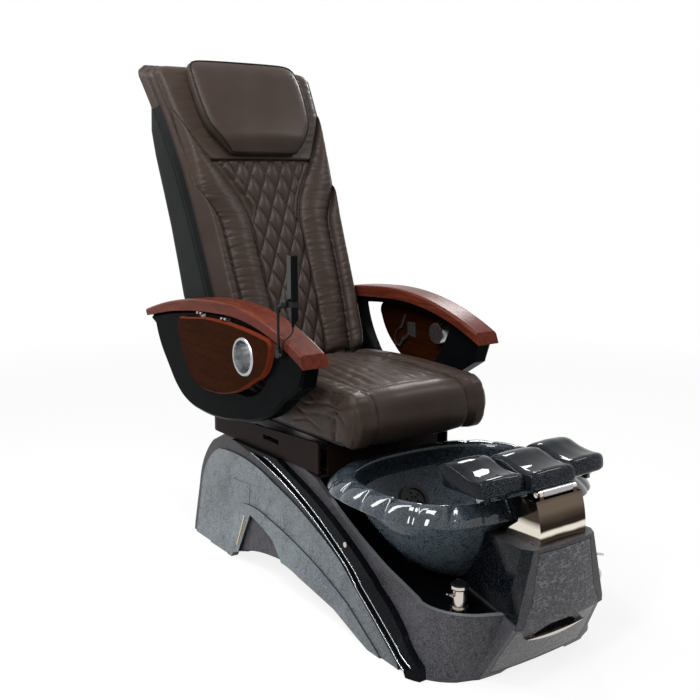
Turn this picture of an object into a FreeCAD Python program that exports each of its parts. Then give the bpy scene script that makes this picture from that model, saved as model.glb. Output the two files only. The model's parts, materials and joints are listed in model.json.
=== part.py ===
import FreeCAD, Part
import math
import os

# Pedicure spa chair: a reclining massage seat that slides on a moulded foot-bath base.
# Lengths are millimetres. While it is built, y = 0 is the front end of the arms, +y runs to the back,
# z = 0 is the floor and x = 0 is the middle. The sitter's right hand is at -x.
# At the end everything is moved along y so that the origin lies under the middle of the box.

# Clearances
RUN = 0.05
SLIDE_CLEAR = 0.4
SEAT_CLEAR = 0.3

# Base moulding
BASE_REAR_Y = 786.0
BASE_WALL = 12.0
FLOOR_HALF_REAR = 252.0
FLOOR_HALF_FRONT = 292.0
LEDGE_HALF_REAR = 235.0
LEDGE_HALF_FRONT = 243.0
TOP_DRAW = 15.0
FLANK_FRONT_Y = -345.0
LEDGE_Z = 160.0
BASE_TOP_Z = 360.0
BASE_TOP_FRONT_Y = 170.0
BASE_TOP_REAR_Y = 560.0
DECK_Z = 146.0
DECK_REAR_Y = -60.0
DECK_RISE_Y = 96.0
DECK_RISE_Z = 300.0
LINER = 3.0

# Console, the tower at the front of the base
TOWER_TOP_Z = 329.0
TOWER_REAR_HALF = 60.0
TOWER_REAR_Y = -275.0
WAIST_HALF = 128.0
WAIST_Y = -527.0
CHEEK_HALF = 146.0
CHEEK_Y = -582.0
TOWER_FRONT_Y = -596.0
TOWER_TOP_REAR_HALF = 111.0
TOWER_TOP_REAR_Y = -434.0
TOWER_TOP_HALF = 117.0
TOWER_TOP_CHEEK = 101.0
TOE_FRONT_Y = -506.0
TOE_HALF = 176.0
PANEL_THICK = 8.0
PANEL_GAP = 1.5
PANEL_LOW_Z = 14.0
HANDLE_Z = 106.0
HANDLE_HALF = 98.0
HANDLE_PROUD = 9.0
EYE_HALF = 75.0
EYE_DEPTH = 20.0

# Side covers
COVER_STEP = 6.0
RIDGE_STEP = 5.0
BAND_PROUD = 20.0
STRIP_PROUD = 2.0

# Bowl
BOWL_Y = -222.0
BOWL_HALF_X = 327.0
BOWL_HALF_Y = 274.0
BOWL_RIM_Z = 412.0
RIM_DROP = 38.0
RIM_POWER = 3.0
MOUTH_HALF_X = 272.0
MOUTH_HALF_Y = 226.0
MOUTH_Y = -232.0
BOWL_WALL = 9.0
BOWL_SPACE = 8.0
PLEATS = 24
PLEAT_DEPTH = 5.0
DRAIN_RADIUS = 26.0
JET_RADIUS = 42.0
JET_TILT = 32.0
JET_Z = 268.0

# Seat and arms
SEAT_HALF = 240.0
SEAT_TOP_Z = 612.0
SEAT_BOTTOM_Z = 500.0
SEAT_FRONT_Y = -84.0
SEAT_REAR_Y = 482.0
SEAT_FLAP_Z = 458.0
ARM_GAP = 20.0
ARM_WIDTH = 80.0
ARM_INNER = SEAT_HALF + ARM_GAP
ARM_OUTER = ARM_INNER + ARM_WIDTH
CAP_INSIDE = 18.0
CAP_OUTSIDE = 12.0
ARM_FRAME_INNER = ARM_INNER + CAP_INSIDE
ARM_FRAME_OUTER = ARM_OUTER - CAP_OUTSIDE
FRAME_BEVEL = 8.0
CAP_ROUND = 9.0
TRAY_THICK = 18.0
TRAY_GAP = 2.0
TRAY_BEVEL = 4.0
TRAY_AXIS_Z = 757.5
KNUCKLE_RADIUS = 4.0
CUP_DEPTH = 46.0
SHROUD_HALF = 232.0
SHROUD_FRONT_Y = 84.0
SHROUD_REAR_Y = 712.0
SHROUD_TOP_Z = 448.0
SHROUD_FALL = 34.0
BOARD = 7.0
RAIL_X = 150.0
RAIL_Z = 402.0
RAIL_HEIGHT = 26.0
FRAME_LOW_Z = 457.0
FRAME_TOP_Z = 480.0

# Backrest
LEAN = 22.0
BACK_Y = 570.0
BACK_Z = 776.0
BACK_THICK = 60.0
BEND_START = 430.0
BEND_DEPTH = 45.0
BEND_LENGTH = 343.0
SHELL_WALL = 5.0
HINGE_Y = 586.0
HINGE_Z = 522.0
HINGE_PIN = 10.0
FRAME_X = 196.0
FRAME_PLATE = 8.0
FRAME_DEPTH = 80.0
RAIL_SPACING = 100.0
RAIL_RADIUS = 7.0
RAIL_DEPTH = 118.0
ROLLER_RADIUS = 24.0
ROLLER_X = 48.0
CARRIAGE_U = 210.0
PILLOW_GAP = 0.5

# Recline drive under the seat
LEVER_LENGTH = 90.0
LEVER_BEHIND = 16.0
LEVER_PIN = 6.0
ACTUATOR_RADIUS = 17.0
DRIVE_ROD = 9.0

# Footrest
BRACKET_HALF = 76.0
BRACKET_SHEET = 3.0
BRACKET_TOP_Z = 432.0
PIVOT_Y = -552.0
PIVOT_Z = 443.0
BAR_RADIUS = 6.0
PAD_HALF = 72.0
PAD_GAP = 5.0
SIDE_PAD_WIDTH = 127.0
PAD_FRONT_Y = -552.0
SIDE_PAD_FRONT_Y = -532.0
PAD_REAR_Y = -365.0
PAD_BOTTOM_Z = 448.0
CROSS_Y = -492.0
CROSS_Z = 440.0
CROSS_RADIUS = 7.0

# Remote control
REMOTE_X = -(ARM_OUTER - 18.0)
REMOTE_Y = 62.0
REMOTE_LOW_Z = 787.0
REMOTE_TOP_Z = 959.0
REMOTE_W = 44.0
REMOTE_T = 20.0
REMOTE_TURN = -15.0
POST_X = -(ARM_OUTER + 8.0)
POST_Y = 92.0
POST_RADIUS = 4.0
POST_TOP_Z = 812.0
CLIP_Z = 705.0

PIECES = {}


def vec(x, y, z):
    return FreeCAD.Vector(x, y, z)


def box(x0, x1, y0, y1, z0, z1):
    return Part.makeBox(x1 - x0, y1 - y0, z1 - z0, vec(x0, y0, z0))


def rod(start, end, radius):
    line = end - start
    return Part.makeCylinder(radius, line.Length, start, line)


def outline(spec, place):
    """A closed wire. spec lists corners (a, b); a point ("via", a, b) makes an arc through it."""
    edges = []
    count = len(spec)
    corner = spec[0]
    i = 1
    while i <= count:
        item = spec[i % count]
        if item[0] == "via":
            end = spec[(i + 1) % count]
            arc = Part.Arc(place(*corner), place(item[1], item[2]), place(*end))
            edges.append(arc.toShape())
            corner = end
            i += 2
        else:
            edges.append(Part.LineSegment(place(*corner), place(*item)).toShape())
            corner = item
            i += 1
    return Part.Wire(edges)


def inset_outline(spec, amount):
    """The same outline with every point moved inwards, square to the line between its neighbours."""
    points = [item[-2:] for item in spec]
    count = len(points)
    area = sum(points[i - 1][0] * points[i][1] - points[i][0] * points[i - 1][1] for i in range(count))
    turn = 1 if area > 0 else -1
    result = []
    for i, item in enumerate(spec):
        a = points[i - 1]
        b = points[(i + 1) % count]
        length = math.hypot(b[0] - a[0], b[1] - a[1])
        moved = (points[i][0] - turn * amount * (b[1] - a[1]) / length,
                 points[i][1] + turn * amount * (b[0] - a[0]) / length)
        result.append(("via",) + moved if item[0] == "via" else moved)
    return result


def lowered(spec, amount):
    """The same side outline moved down."""
    return [("via", p[1], p[2] - amount) if p[0] == "via" else (p[0], p[1] - amount) for p in spec]


def side_prism(spec, x0, x1):
    """A prism whose outline is given as (y, z)."""
    face = Part.Face(outline(spec, lambda y, z: vec(x0, y, z)))
    return face.extrude(vec(x1 - x0, 0, 0))


def front_prism(spec, y0, y1):
    """A prism whose outline is given as (x, z)."""
    face = Part.Face(outline(spec, lambda x, z: vec(x, y0, z)))
    return face.extrude(vec(0, y1 - y0, 0))


def plan_prism(spec, z0, z1):
    """A prism whose outline is given as (x, y)."""
    face = Part.Face(outline(spec, lambda x, y: vec(x, y, z0)))
    return face.extrude(vec(0, 0, z1 - z0))


def bevelled_plate(spec, x0, x1, bevel):
    """A plate between x0 and x1, given as (y, z), with a bevel round its face at x1."""
    plate = side_prism(spec, x0, x1 - bevel)
    edge = outline(spec, lambda y, z: vec(x1 - bevel, y, z))
    small = outline(inset_outline(spec, bevel), lambda y, z: vec(x1, y, z))
    return fuse([plate, Part.makeLoft([edge, small], True, True)])


def fuse(shapes):
    whole = shapes[0]
    if len(shapes) > 1:
        whole = whole.fuse(shapes[1:])
    return whole.removeSplitter()


def cut(shape, *tools):
    return shape.cut(list(tools))


def mirrored(shape):
    return shape.mirror(vec(0, 0, 0), vec(1, 0, 0))


def shifted(shape, x, y, z):
    copy = shape.copy()
    copy.translate(vec(x, y, z))
    return copy


def keep(name, *shapes):
    """Put the solids of the shapes into one named piece."""
    solids = []
    for shape in shapes:
        solids += shape.Solids
    PIECES[name] = Part.makeCompound(solids) if len(solids) > 1 else solids[0]


# Base moulding

def floor_points(grow, inset, grow_rear):
    """Half outline of the base on the floor, from the rear corner to the middle of the front."""
    return [(FLOOR_HALF_REAR + grow_rear, BASE_REAR_Y - inset),
            (FLOOR_HALF_FRONT + grow, FLANK_FRONT_Y + 10),
            ("via", FLOOR_HALF_FRONT - 20 + grow, FLANK_FRONT_Y - 85 + inset / 2),
            (FLOOR_HALF_FRONT - 66 + grow, TOE_FRONT_Y + 30 + inset),
            (TOE_HALF + 14 + grow, TOE_FRONT_Y + 16 + inset),
            (TOE_HALF + grow, TOE_FRONT_Y + 9 + inset), ("via", 0, TOE_FRONT_Y + inset)]


def ledge_points(grow, inset, grow_rear):
    """Half outline of the base at the height of its ledge, with as many corners as on the floor."""
    return [(LEDGE_HALF_REAR + grow_rear, BASE_REAR_Y - inset), (LEDGE_HALF_FRONT + grow, FLANK_FRONT_Y),
            ("via", LEDGE_HALF_FRONT - 14 + grow, FLANK_FRONT_Y - 103 + inset / 2),
            (WAIST_HALF + 37 + grow, WAIST_Y + 19 + inset), (WAIST_HALF + grow, WAIST_Y + inset),
            (CHEEK_HALF + grow, CHEEK_Y + inset), ("via", 0, TOWER_FRONT_Y + inset)]


def whole_outline(points):
    """Close a half outline over the middle plane."""
    left = []
    for item in reversed(points[:-1]):
        if item[0] == "via":
            left.append(("via", -item[1], item[2]))
        else:
            left.append((-item[0], item[1]))
    return points + left


def level(points, z):
    return outline(whole_outline(points), lambda x, y: vec(x, y, z))


def base_block(grow, inset=0.0, grow_rear=None):
    """The full moulding before it is cut to its side profile, with its flanks moved out by grow."""
    rear = grow if grow_rear is None else grow_rear
    top_grow = grow - TOP_DRAW
    floor = level(floor_points(grow, inset, rear), 0)
    ledge = level(ledge_points(grow, inset, rear), LEDGE_Z)
    top = level(ledge_points(top_grow, inset, rear - TOP_DRAW), BASE_TOP_Z + 20)
    lower = Part.makeLoft([floor, ledge], True, True)
    upper = Part.makeLoft([ledge, top], True, True)
    return lower.fuse(upper)


def tower_outline(inset):
    return [(TOWER_REAR_HALF - inset, TOWER_REAR_Y - inset), (WAIST_HALF - inset, WAIST_Y),
            (CHEEK_HALF - inset, CHEEK_Y + inset), ("via", 0, TOWER_FRONT_Y + inset)]


def tower_top_outline(inset):
    return [(TOWER_TOP_REAR_HALF - inset, TOWER_TOP_REAR_Y - inset), (TOWER_TOP_HALF - inset, -562),
            (TOWER_TOP_CHEEK - inset, CHEEK_Y - 3 + inset), ("via", 0, TOWER_FRONT_Y + 2 + inset)]


def tower_block(inset, bottom, top, space):
    """The console tower: upright up to the ledge, then drawn in to its top, hollowed for the bowl."""
    foot = level(tower_outline(inset), bottom)
    ledge = level(tower_outline(inset), LEDGE_Z)
    crown = level(tower_top_outline(inset), top)
    block = fuse([Part.makeLoft([foot, ledge], True, True), Part.makeLoft([ledge, crown], True, True)])
    return cut(block, bowl_mass(space))


FIN_PROFILE = [(BASE_REAR_Y, 0), (BASE_REAR_Y, 26), (BASE_REAR_Y - 14, 170),
               ("via", BASE_REAR_Y - 44, BASE_TOP_Z - 98), (BASE_REAR_Y - 96, BASE_TOP_Z - 38),
               (BASE_TOP_REAR_Y + 65, BASE_TOP_Z - 6), (BASE_TOP_REAR_Y, BASE_TOP_Z),
               (BASE_TOP_FRONT_Y, BASE_TOP_Z), (BASE_TOP_FRONT_Y - 70, BASE_TOP_Z - 17),
               ("via", -60, LEDGE_Z + 102), (FLANK_FRONT_Y + 130, LEDGE_Z + 40),
               (FLANK_FRONT_Y - 15, LEDGE_Z), (-700, LEDGE_Z), (-700, 0)]

ARCH_PROFILE = [(505, -5), (496, 14), ("via", 400, 47), (291, 66), ("via", 215, 71), (126, 62), (-58, 40),
                (-172, 12), (-250, -5)]

DECK_BACK_Y = DECK_RISE_Y + 34


def panel_outline(grow):
    """Front outline of the access panel, as (x, z)."""
    low = PANEL_LOW_Z - grow
    high = TOWER_TOP_Z - 10 + grow
    right = [(150 + grow, low), (150 + grow, 50), ("via", 134 + grow, 130), (104 + grow, 200),
             (85 + grow, high)]
    left = [("via", -p[1], p[2]) if p[0] == "via" else (-p[0], p[1]) for p in reversed(right)]
    return right + left


def make_base():
    body = base_block(0).common(side_prism(FIN_PROFILE, -400, 400))
    deck_profile = [(-700, DECK_Z), (DECK_REAR_Y, DECK_Z), (DECK_RISE_Y, DECK_RISE_Z),
                    (DECK_BACK_Y, BASE_TOP_Z + 40), (-700, BASE_TOP_Z + 40)]
    basin = base_block(-BASE_WALL, BASE_WALL).common(side_prism(deck_profile, -400, 400))
    tower = tower_block(0, DECK_Z - 2, TOWER_TOP_Z, BOWL_SPACE)
    w = BASE_WALL
    under_profile = [(BASE_REAR_Y - w - 2, -1), (BASE_REAR_Y - w - 15, 168),
                     (BASE_REAR_Y - w - 43, BASE_TOP_Z - 106),
                     (BASE_REAR_Y - w - 92, BASE_TOP_Z - w - 38), (BASE_TOP_REAR_Y + 58, BASE_TOP_Z - w - 8),
                     (BASE_TOP_REAR_Y, BASE_TOP_Z - w - 1), (BASE_TOP_FRONT_Y - 8, BASE_TOP_Z - w - 2),
                     (DECK_BACK_Y + w, DECK_RISE_Z + 28), (DECK_RISE_Y + w * 0.9, DECK_RISE_Z - w * 0.9),
                     (DECK_REAR_Y + w * 0.5, DECK_Z - w), (-700, DECK_Z - w), (-700, -1)]
    under = base_block(-w, w).common(side_prism(under_profile, -400, 400))
    tower_room = tower_block(w, DECK_Z, TOWER_TOP_Z - w, BOWL_SPACE + w - 2)
    arch = side_prism(ARCH_PROFILE, -400, 400)
    toe = front_prism([(-120, -5), (-96, 8), (96, 8), (120, -5)], -700, -440)
    shell = fuse([cut(body, basin), tower])
    shell = cut(shell, under, tower_room, arch, toe)
    front = base_block(0).common(box(-400, 400, -700, FLANK_FRONT_Y - 60, -1, LEDGE_Z))
    front_skin = fuse([front, tower])
    seat_of_panel = front_skin.common(front_prism(panel_outline(PANEL_GAP), -700, -470))
    seat_of_panel = cut(seat_of_panel, shifted(front_skin, 0, PANEL_THICK + SEAT_CLEAR, 0))
    hole = front_prism(panel_outline(-10), -700, -480)
    hole = cut(hole, box(-400, 400, CHEEK_Y + 12, -400, DECK_Z - w, DECK_Z))
    pocket_room = front_prism(eye_outline(7), -620, -440).common(front_skin)
    keep("base_shell", cut(shell, seat_of_panel, hole, pocket_room))
    panel = front_skin.common(front_prism(panel_outline(0), -700, -470))
    panel = cut(panel, shifted(front_skin, 0, PANEL_THICK, 0))
    return front_skin, panel, tower


def eye_outline(grow):
    """The eye-shaped hollow behind the handle, as (x, z)."""
    half = EYE_HALF + grow
    return [(-half, HANDLE_Z + 1), ("via", 0, HANDLE_Z + 32 + grow), (half, HANDLE_Z + 1),
            ("via", 0, HANDLE_Z - 11 - grow)]


def make_panel(front_skin, panel):
    pocket = front_prism(eye_outline(4), -620, -440).common(shifted(front_skin, 0, 1.0, 0))
    pocket = cut(pocket, shifted(front_skin, 0, EYE_DEPTH + 4, 0))
    hollow = front_prism(eye_outline(0), -620, -440)
    hollow = cut(hollow, shifted(front_skin, 0, EYE_DEPTH, 0))
    keep("access_panel", cut(fuse([panel, pocket]), hollow))
    bow = [(-HANDLE_HALF, HANDLE_Z), ("via", 0, HANDLE_Z - 14), (HANDLE_HALF, HANDLE_Z),
           ("via", 0, HANDLE_Z - 2)]
    strip = front_prism(bow, -640, -480)
    proud = shifted(front_skin, 0, -HANDLE_PROUD, 0)
    handle = strip.common(cut(proud, shifted(front_skin, 0, -1, 0)))
    ends = strip.common(cut(shifted(front_skin, 0, -2, 0), front_skin))
    reach = HANDLE_HALF - 20
    ends = ends.common(fuse([box(-120, -reach, -700, -400, 0, 200), box(reach, 120, -700, -400, 0, 200)]))
    keep("panel_handle", fuse([handle, ends]))


def flank_slab(grow, spec):
    """A slab of the given thickness that hugs the flank of the base, on the sitter's left."""
    slab = cut(base_block(grow), base_block(0))
    return slab.common(side_prism(spec, 150, 400))


COVER_SPEC = [(760, 0), (748, 136), ("via", 711, 251), (640, 306), ("via", 469, 310), (316, 280),
              ("via", 107, 219), (-103, 124), ("via", -215, 69), (-336, 12), (-350, 0)]
FADE_SPEC = [(647, 0), (639, 105), ("via", 622, 187), (580, 221), (534, 235), (440, 240), (440, 0)]
RIDGE_SPEC = [(530, 0), (521, 98), ("via", 505, 150), (472, 174), ("via", 400, 179), (319, 168),
              ("via", 110, 130), (-106, 72), (-261, 9), (-280, 0)]
RECESS_SPEC = [(465, 29), (424, 151), ("via", 352, 136), (285, 117), (218, 69), ("via", 330, 60)]
BAND_SPEC = [(540, 360), (516, 359), ("via", 405, 340), (286, 313), ("via", 59, 231), (-149, 119),
             (-379, 12), (-388, 0), (-424, 0), (-418, 28), ("via", -327, 96), (-216, 150),
             ("via", -30, 250), (154, 320), (259, 352), (280, 360)]
GROOVE_SPEC = [(420, 350), (286, 320), ("via", 59, 239), (-149, 127), (-384, 17), (-397, 22), (-159, 135),
               ("via", 99, 270), (339, 347)]
STRIP_SPEC = [(478, 44), (456, 142), (451.5, 142), (473.5, 44)]
STUD_Y = -78.0
STUD_Z = 219.0
FADE_REAR = 14.0
FADE_FRONT = -14.0


def make_sides():
    arch = side_prism(ARCH_PROFILE, -400, 400)
    first = flank_slab(COVER_STEP, COVER_SPEC)
    fading = base_block(COVER_STEP + FADE_FRONT + 1, 0, COVER_STEP + FADE_REAR - 7)
    fading = cut(fading, base_block(0)).common(side_prism(FADE_SPEC, 150, 400))
    ridge = flank_slab(COVER_STEP + RIDGE_STEP, RIDGE_SPEC)
    cover = cut(fuse([first, fading, ridge]), arch, side_prism(RECESS_SPEC, 150, 400))
    keep("side_cover_left", cover)
    keep("side_cover_right", mirrored(cover))
    band = flank_slab(BAND_PROUD, BAND_SPEC)
    groove = flank_slab(BAND_PROUD + 1, GROOVE_SPEC)
    groove = cut(groove, base_block(BAND_PROUD - 9))
    trim = cut(band, groove, side_prism(inset_outline(COVER_SPEC, -SEAT_CLEAR), 150, 400))
    keep("channel_trims", trim, mirrored(trim))
    stud = rod(vec(150, STUD_Y, STUD_Z), vec(400, STUD_Y, STUD_Z), 7)
    stud = stud.common(cut(base_block(BAND_PROUD + 3), base_block(BAND_PROUD)))
    keep("trim_studs", stud, mirrored(stud))
    proud = cut(base_block(COVER_STEP + RIDGE_STEP + STRIP_PROUD), base_block(COVER_STEP + RIDGE_STEP))
    strip = proud.common(side_prism(STRIP_SPEC, 150, 400))
    keep("recess_strips", strip, mirrored(strip))


# Bowl and what is in it

def ring(half_x, half_y, z, power=2.0, middle=BOWL_Y, lobes=12, wave=0.0):
    """A closed wire of arcs round the bowl's middle: an oval of the given power, with wavy edges."""

    def point(share, swell):
        angle = 2 * math.pi * share / lobes
        across = abs(math.cos(angle) / (half_x + swell)) ** power
        along = abs(math.sin(angle) / (half_y + swell)) ** power
        reach = (across + along) ** (-1 / power)
        return (reach * math.cos(angle), middle + reach * math.sin(angle))

    spec = []
    for i in range(lobes):
        spec.append(point(i, 0))
        spec.append(("via",) + point(i + 0.5, wave))
    return outline(spec, lambda x, y: vec(x, y, z))


FOOT_Z = DECK_Z + LINER + SEAT_CLEAR
LIP_Z = BOWL_RIM_Z - RIM_DROP
# Height over the foot, half width, half depth and power of the bowl's outside
BOWL_ROWS = [(0, 82, 82, 2.0), (16, 120, 112, 2.0), (54, 165, 146, 2.1), (104, 210, 181, 2.2),
             (151, 245, 208, 2.3), (LIP_Z - FOOT_Z, 285, 240, 2.5)]


def bowl_mass(grow):
    """The outside of the bowl, moved outwards by grow and carried down below the deck."""
    rows = [(-8, 82, 82, 2.0)] + BOWL_ROWS
    wires = [ring(a + grow, b + grow, FOOT_Z + z, power) for z, a, b, power in rows]
    return Part.makeLoft(wires, True, True)


def bowl_room():
    rows = [(FOOT_Z + z, a - BOWL_WALL, b - BOWL_WALL, power) for z, a, b, power in BOWL_ROWS]
    rows[0] = (FOOT_Z + BOWL_WALL,) + rows[0][1:]
    rows[1] = (FOOT_Z + 20,) + rows[1][1:]
    return Part.makeLoft([ring(a, b, z, power) for z, a, b, power in rows], True, True)


def make_bowl():
    body = Part.makeLoft([ring(a, b, FOOT_Z + z, power) for z, a, b, power in BOWL_ROWS], True, True)
    rim_rows = [(LIP_Z, 4), (LIP_Z + 12, 0), (BOWL_RIM_Z - 9, 14), (BOWL_RIM_Z, 34)]
    rim_rings = [ring(BOWL_HALF_X - less, BOWL_HALF_Y - less, z, RIM_POWER, BOWL_Y, PLEATS, PLEAT_DEPTH)
                 for z, less in rim_rows]
    rim = Part.makeLoft(rim_rings, True, True)
    room = bowl_room()
    mouth = Part.makeLoft([ring(BOWL_ROWS[-1][1] - BOWL_WALL, BOWL_ROWS[-1][2] - BOWL_WALL, LIP_Z, 2.5),
                           ring(MOUTH_HALF_X, MOUTH_HALF_Y, BOWL_RIM_Z + 1, 2.5, MOUTH_Y)], True, True)
    bowl = cut(fuse([body, rim]), room, mouth)
    boss = jet_placed(rod(vec(0, -14, 0), vec(0, 26, 0), JET_RADIUS + 10))
    bowl = fuse([bowl, boss])
    drain_hole = rod(vec(0, BOWL_Y, FOOT_Z - 5), vec(0, BOWL_Y, FOOT_Z + 20), DRAIN_RADIUS)
    jet_hole = jet_placed(rod(vec(0, -60, 0), vec(0, 40, 0), JET_RADIUS))
    keep("bowl", cut(bowl, drain_hole, jet_hole))


def jet_placed(shape):
    """Put a shape built along +y at the origin onto the sloping rear wall of the bowl, square to it."""
    low = BOWL_ROWS[3]
    high = BOWL_ROWS[4]
    share = (JET_Z - FOOT_Z - low[0]) / (high[0] - low[0])
    wall_y = BOWL_Y + low[2] + (high[2] - low[2]) * share
    copy = shape.copy()
    copy.rotate(vec(0, 0, 0), vec(1, 0, 0), -JET_TILT)
    copy.translate(vec(0, wall_y, JET_Z))
    return copy


def make_bowl_fittings():
    floor_z = FOOT_Z + BOWL_WALL
    flange = rod(vec(0, BOWL_Y, floor_z), vec(0, BOWL_Y, floor_z + 3), 38)
    tail = rod(vec(0, BOWL_Y, FOOT_Z), vec(0, BOWL_Y, floor_z + 1), DRAIN_RADIUS - SEAT_CLEAR)
    throat = rod(vec(0, BOWL_Y, FOOT_Z - 1), vec(0, BOWL_Y, floor_z + 4), 20)
    spider = [box(-20.5, 20.5, BOWL_Y - 1.5, BOWL_Y + 1.5, FOOT_Z, FOOT_Z + 6),
              box(-1.5, 1.5, BOWL_Y - 20.5, BOWL_Y + 20.5, FOOT_Z, FOOT_Z + 6),
              rod(vec(0, BOWL_Y, FOOT_Z), vec(0, BOWL_Y, FOOT_Z + 6), 5)]
    guide = rod(vec(0, BOWL_Y, FOOT_Z - 1), vec(0, BOWL_Y, FOOT_Z + 7), 2.5 + RUN)
    keep("bowl_drain", cut(fuse([cut(fuse([flange, tail]), throat)] + spider), guide))
    cap = Part.makeCone(17, 24, 4, vec(0, BOWL_Y, floor_z + 5), vec(0, 0, 1))
    stem = rod(vec(0, BOWL_Y, FOOT_Z + 0.5), vec(0, BOWL_Y, floor_z + 6), 2.5)
    keep("drain_stopper", fuse([cap, stem]))
    make_jet()


def make_jet():
    """The pipeless jet: a cup through the wall, an impeller on its axle and a slotted cover."""
    inside = JET_RADIUS - 4
    cup = rod(vec(0, -13.7, 0), vec(0, 30, 0), JET_RADIUS - SEAT_CLEAR)
    cup_room = rod(vec(0, -15, 0), vec(0, 20, 0), inside)
    axle = rod(vec(0, 4, 0), vec(0, 21, 0), 4)
    flange = cut(rod(vec(0, 26 + SEAT_CLEAR, 0), vec(0, 30, 0), JET_RADIUS + 8),
                 rod(vec(0, 0, 0), vec(0, 40, 0), JET_RADIUS - 1))
    keep("jet_housing", jet_placed(fuse([cut(cup, cup_room), axle, flange])))
    hub = rod(vec(0, 2, 0), vec(0, 18, 0), 10)
    blades = []
    for i in range(5):
        blade = box(9, inside - 4, 3, 15, -1.2, 1.2)
        blade.rotate(vec(0, 0, 0), vec(0, 1, 0), 72 * i)
        blades.append(blade)
    bore = rod(vec(0, 3, 0), vec(0, 25, 0), 4 + RUN)
    keep("jet_impeller", jet_placed(cut(fuse([hub] + blades), bore)))
    disc = rod(vec(0, -13.5, 0), vec(0, -9.5, 0), inside - SEAT_CLEAR)
    rim = rod(vec(0, -18, 0), vec(0, -14 - SEAT_CLEAR, 0), JET_RADIUS + 4)
    rim = cut(rim, rod(vec(0, -30, 0), vec(0, 0, 0), 36))
    link = rod(vec(0, -15, 0), vec(0, -9.5, 0), inside - SEAT_CLEAR)
    link = cut(link, rod(vec(0, -30, 0), vec(0, 0, 0), 35))
    slots = []
    for radius in (12, 23):
        for i in range(6):
            hole = rod(vec(radius, -30, 0), vec(radius, 0, 0), 3.6)
            hole.rotate(vec(0, 0, 0), vec(0, 1, 0), 60 * i + radius)
            slots.append(hole)
    keep("jet_cover", jet_placed(cut(fuse([disc, rim, link]), *slots)))


# Fittings of the base

SPRAY_X = -188.0
SPRAY_Y = -437.0
SPRAY_TOP_Z = 222.0
SPRAY_RADIUS = 17.0
MIXER_Y = -556.0
MIXER_Z = 262.0
KNOB_Z = 204.0
PUMP_Y = -475.0
BUSH_RADIUS = 9.0


def make_deck_fittings():
    deck_top = DECK_Z + LINER
    gap = SEAT_CLEAR
    liner_profile = [(-700, DECK_Z + gap), (DECK_REAR_Y - gap, DECK_Z + gap),
                     (DECK_RISE_Y - gap, DECK_RISE_Z + gap), (DECK_BACK_Y - 2 * gap, BASE_TOP_Z + 40),
                     (-700, BASE_TOP_Z + 40)]
    room_profile = [(-700, deck_top), (DECK_REAR_Y - 2, deck_top), (DECK_RISE_Y - 4.5, DECK_RISE_Z + 1),
                    (DECK_BACK_Y - 5, BASE_TOP_Z + 40), (-700, BASE_TOP_Z + 40)]
    outer = base_block(-BASE_WALL - gap, BASE_WALL + gap)
    outer = outer.common(side_prism(liner_profile, -400, 400))
    outer = outer.common(side_prism(lowered(FIN_PROFILE, 6), -400, 400))
    inner = base_block(-BASE_WALL - LINER, BASE_WALL + LINER).common(side_prism(room_profile, -400, 400))
    wide_tower = tower_block(-gap, DECK_Z - 3, TOWER_TOP_Z, BOWL_SPACE - gap)
    socket = rod(vec(SPRAY_X, SPRAY_Y, DECK_Z - 20), vec(SPRAY_X, SPRAY_Y, DECK_Z + 20), 14)
    keep("deck_liner", cut(outer, inner, wide_tower, socket))
    make_sprayer(deck_top)


def spray(dx, dy, z):
    return vec(SPRAY_X + dx, SPRAY_Y + dy, z)


def make_sprayer(deck_top):
    collar = rod(spray(0, 0, deck_top + 0.3), spray(0, 0, deck_top + 16), SPRAY_RADIUS + 5)
    nut = rod(spray(0, 0, DECK_Z + 0.3), spray(0, 0, deck_top + 1), 14 - SEAT_CLEAR)
    bore = rod(spray(0, 0, deck_top + 4), spray(0, 0, deck_top + 30), SPRAY_RADIUS + RUN)
    keep("sprayer_holder", cut(fuse([collar, nut]), bore))
    neck_z = SPRAY_TOP_Z - 15
    barrel = rod(spray(0, 0, deck_top + 4.3), spray(0, 0, neck_z + 1), SPRAY_RADIUS)
    neck = Part.makeCone(SPRAY_RADIUS, SPRAY_RADIUS + 4.5, 5, spray(0, 0, neck_z), vec(0, 0, 1))
    head = rod(spray(0, 0, neck_z + 5), spray(0, 0, SPRAY_TOP_Z - 3), SPRAY_RADIUS + 4.5)
    pin_z = neck_z - 9
    ear = box(SPRAY_X - 26, SPRAY_X - 15, SPRAY_Y - 5, SPRAY_Y + 5, pin_z - 3, pin_z + 3)
    slit = box(SPRAY_X - 27, SPRAY_X - 17.6, SPRAY_Y - 2.4, SPRAY_Y + 2.4, pin_z - 10, pin_z + 4)
    pin = rod(spray(-22, -5, pin_z), spray(-22, 5, pin_z), 1.5)
    keep("sprayer_body", fuse([cut(fuse([barrel, neck, head, ear]), slit), pin]))
    keep("sprayer_face", rod(spray(0, 0, SPRAY_TOP_Z - 3), spray(0, 0, SPRAY_TOP_Z), SPRAY_RADIUS + 2))
    blade = [(-24.6, -2), (-19.4, -2), (-19.4, 2.5), (-26, 5), (-39, 8), (-39, 5), (-26, 1.5)]
    lever = front_prism([(SPRAY_X + x, pin_z + z) for x, z in blade], SPRAY_Y - 2, SPRAY_Y + 2)
    keep("sprayer_lever", cut(lever, rod(spray(-22, -5, pin_z), spray(-22, 5, pin_z), 1.5 + RUN)))


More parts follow.
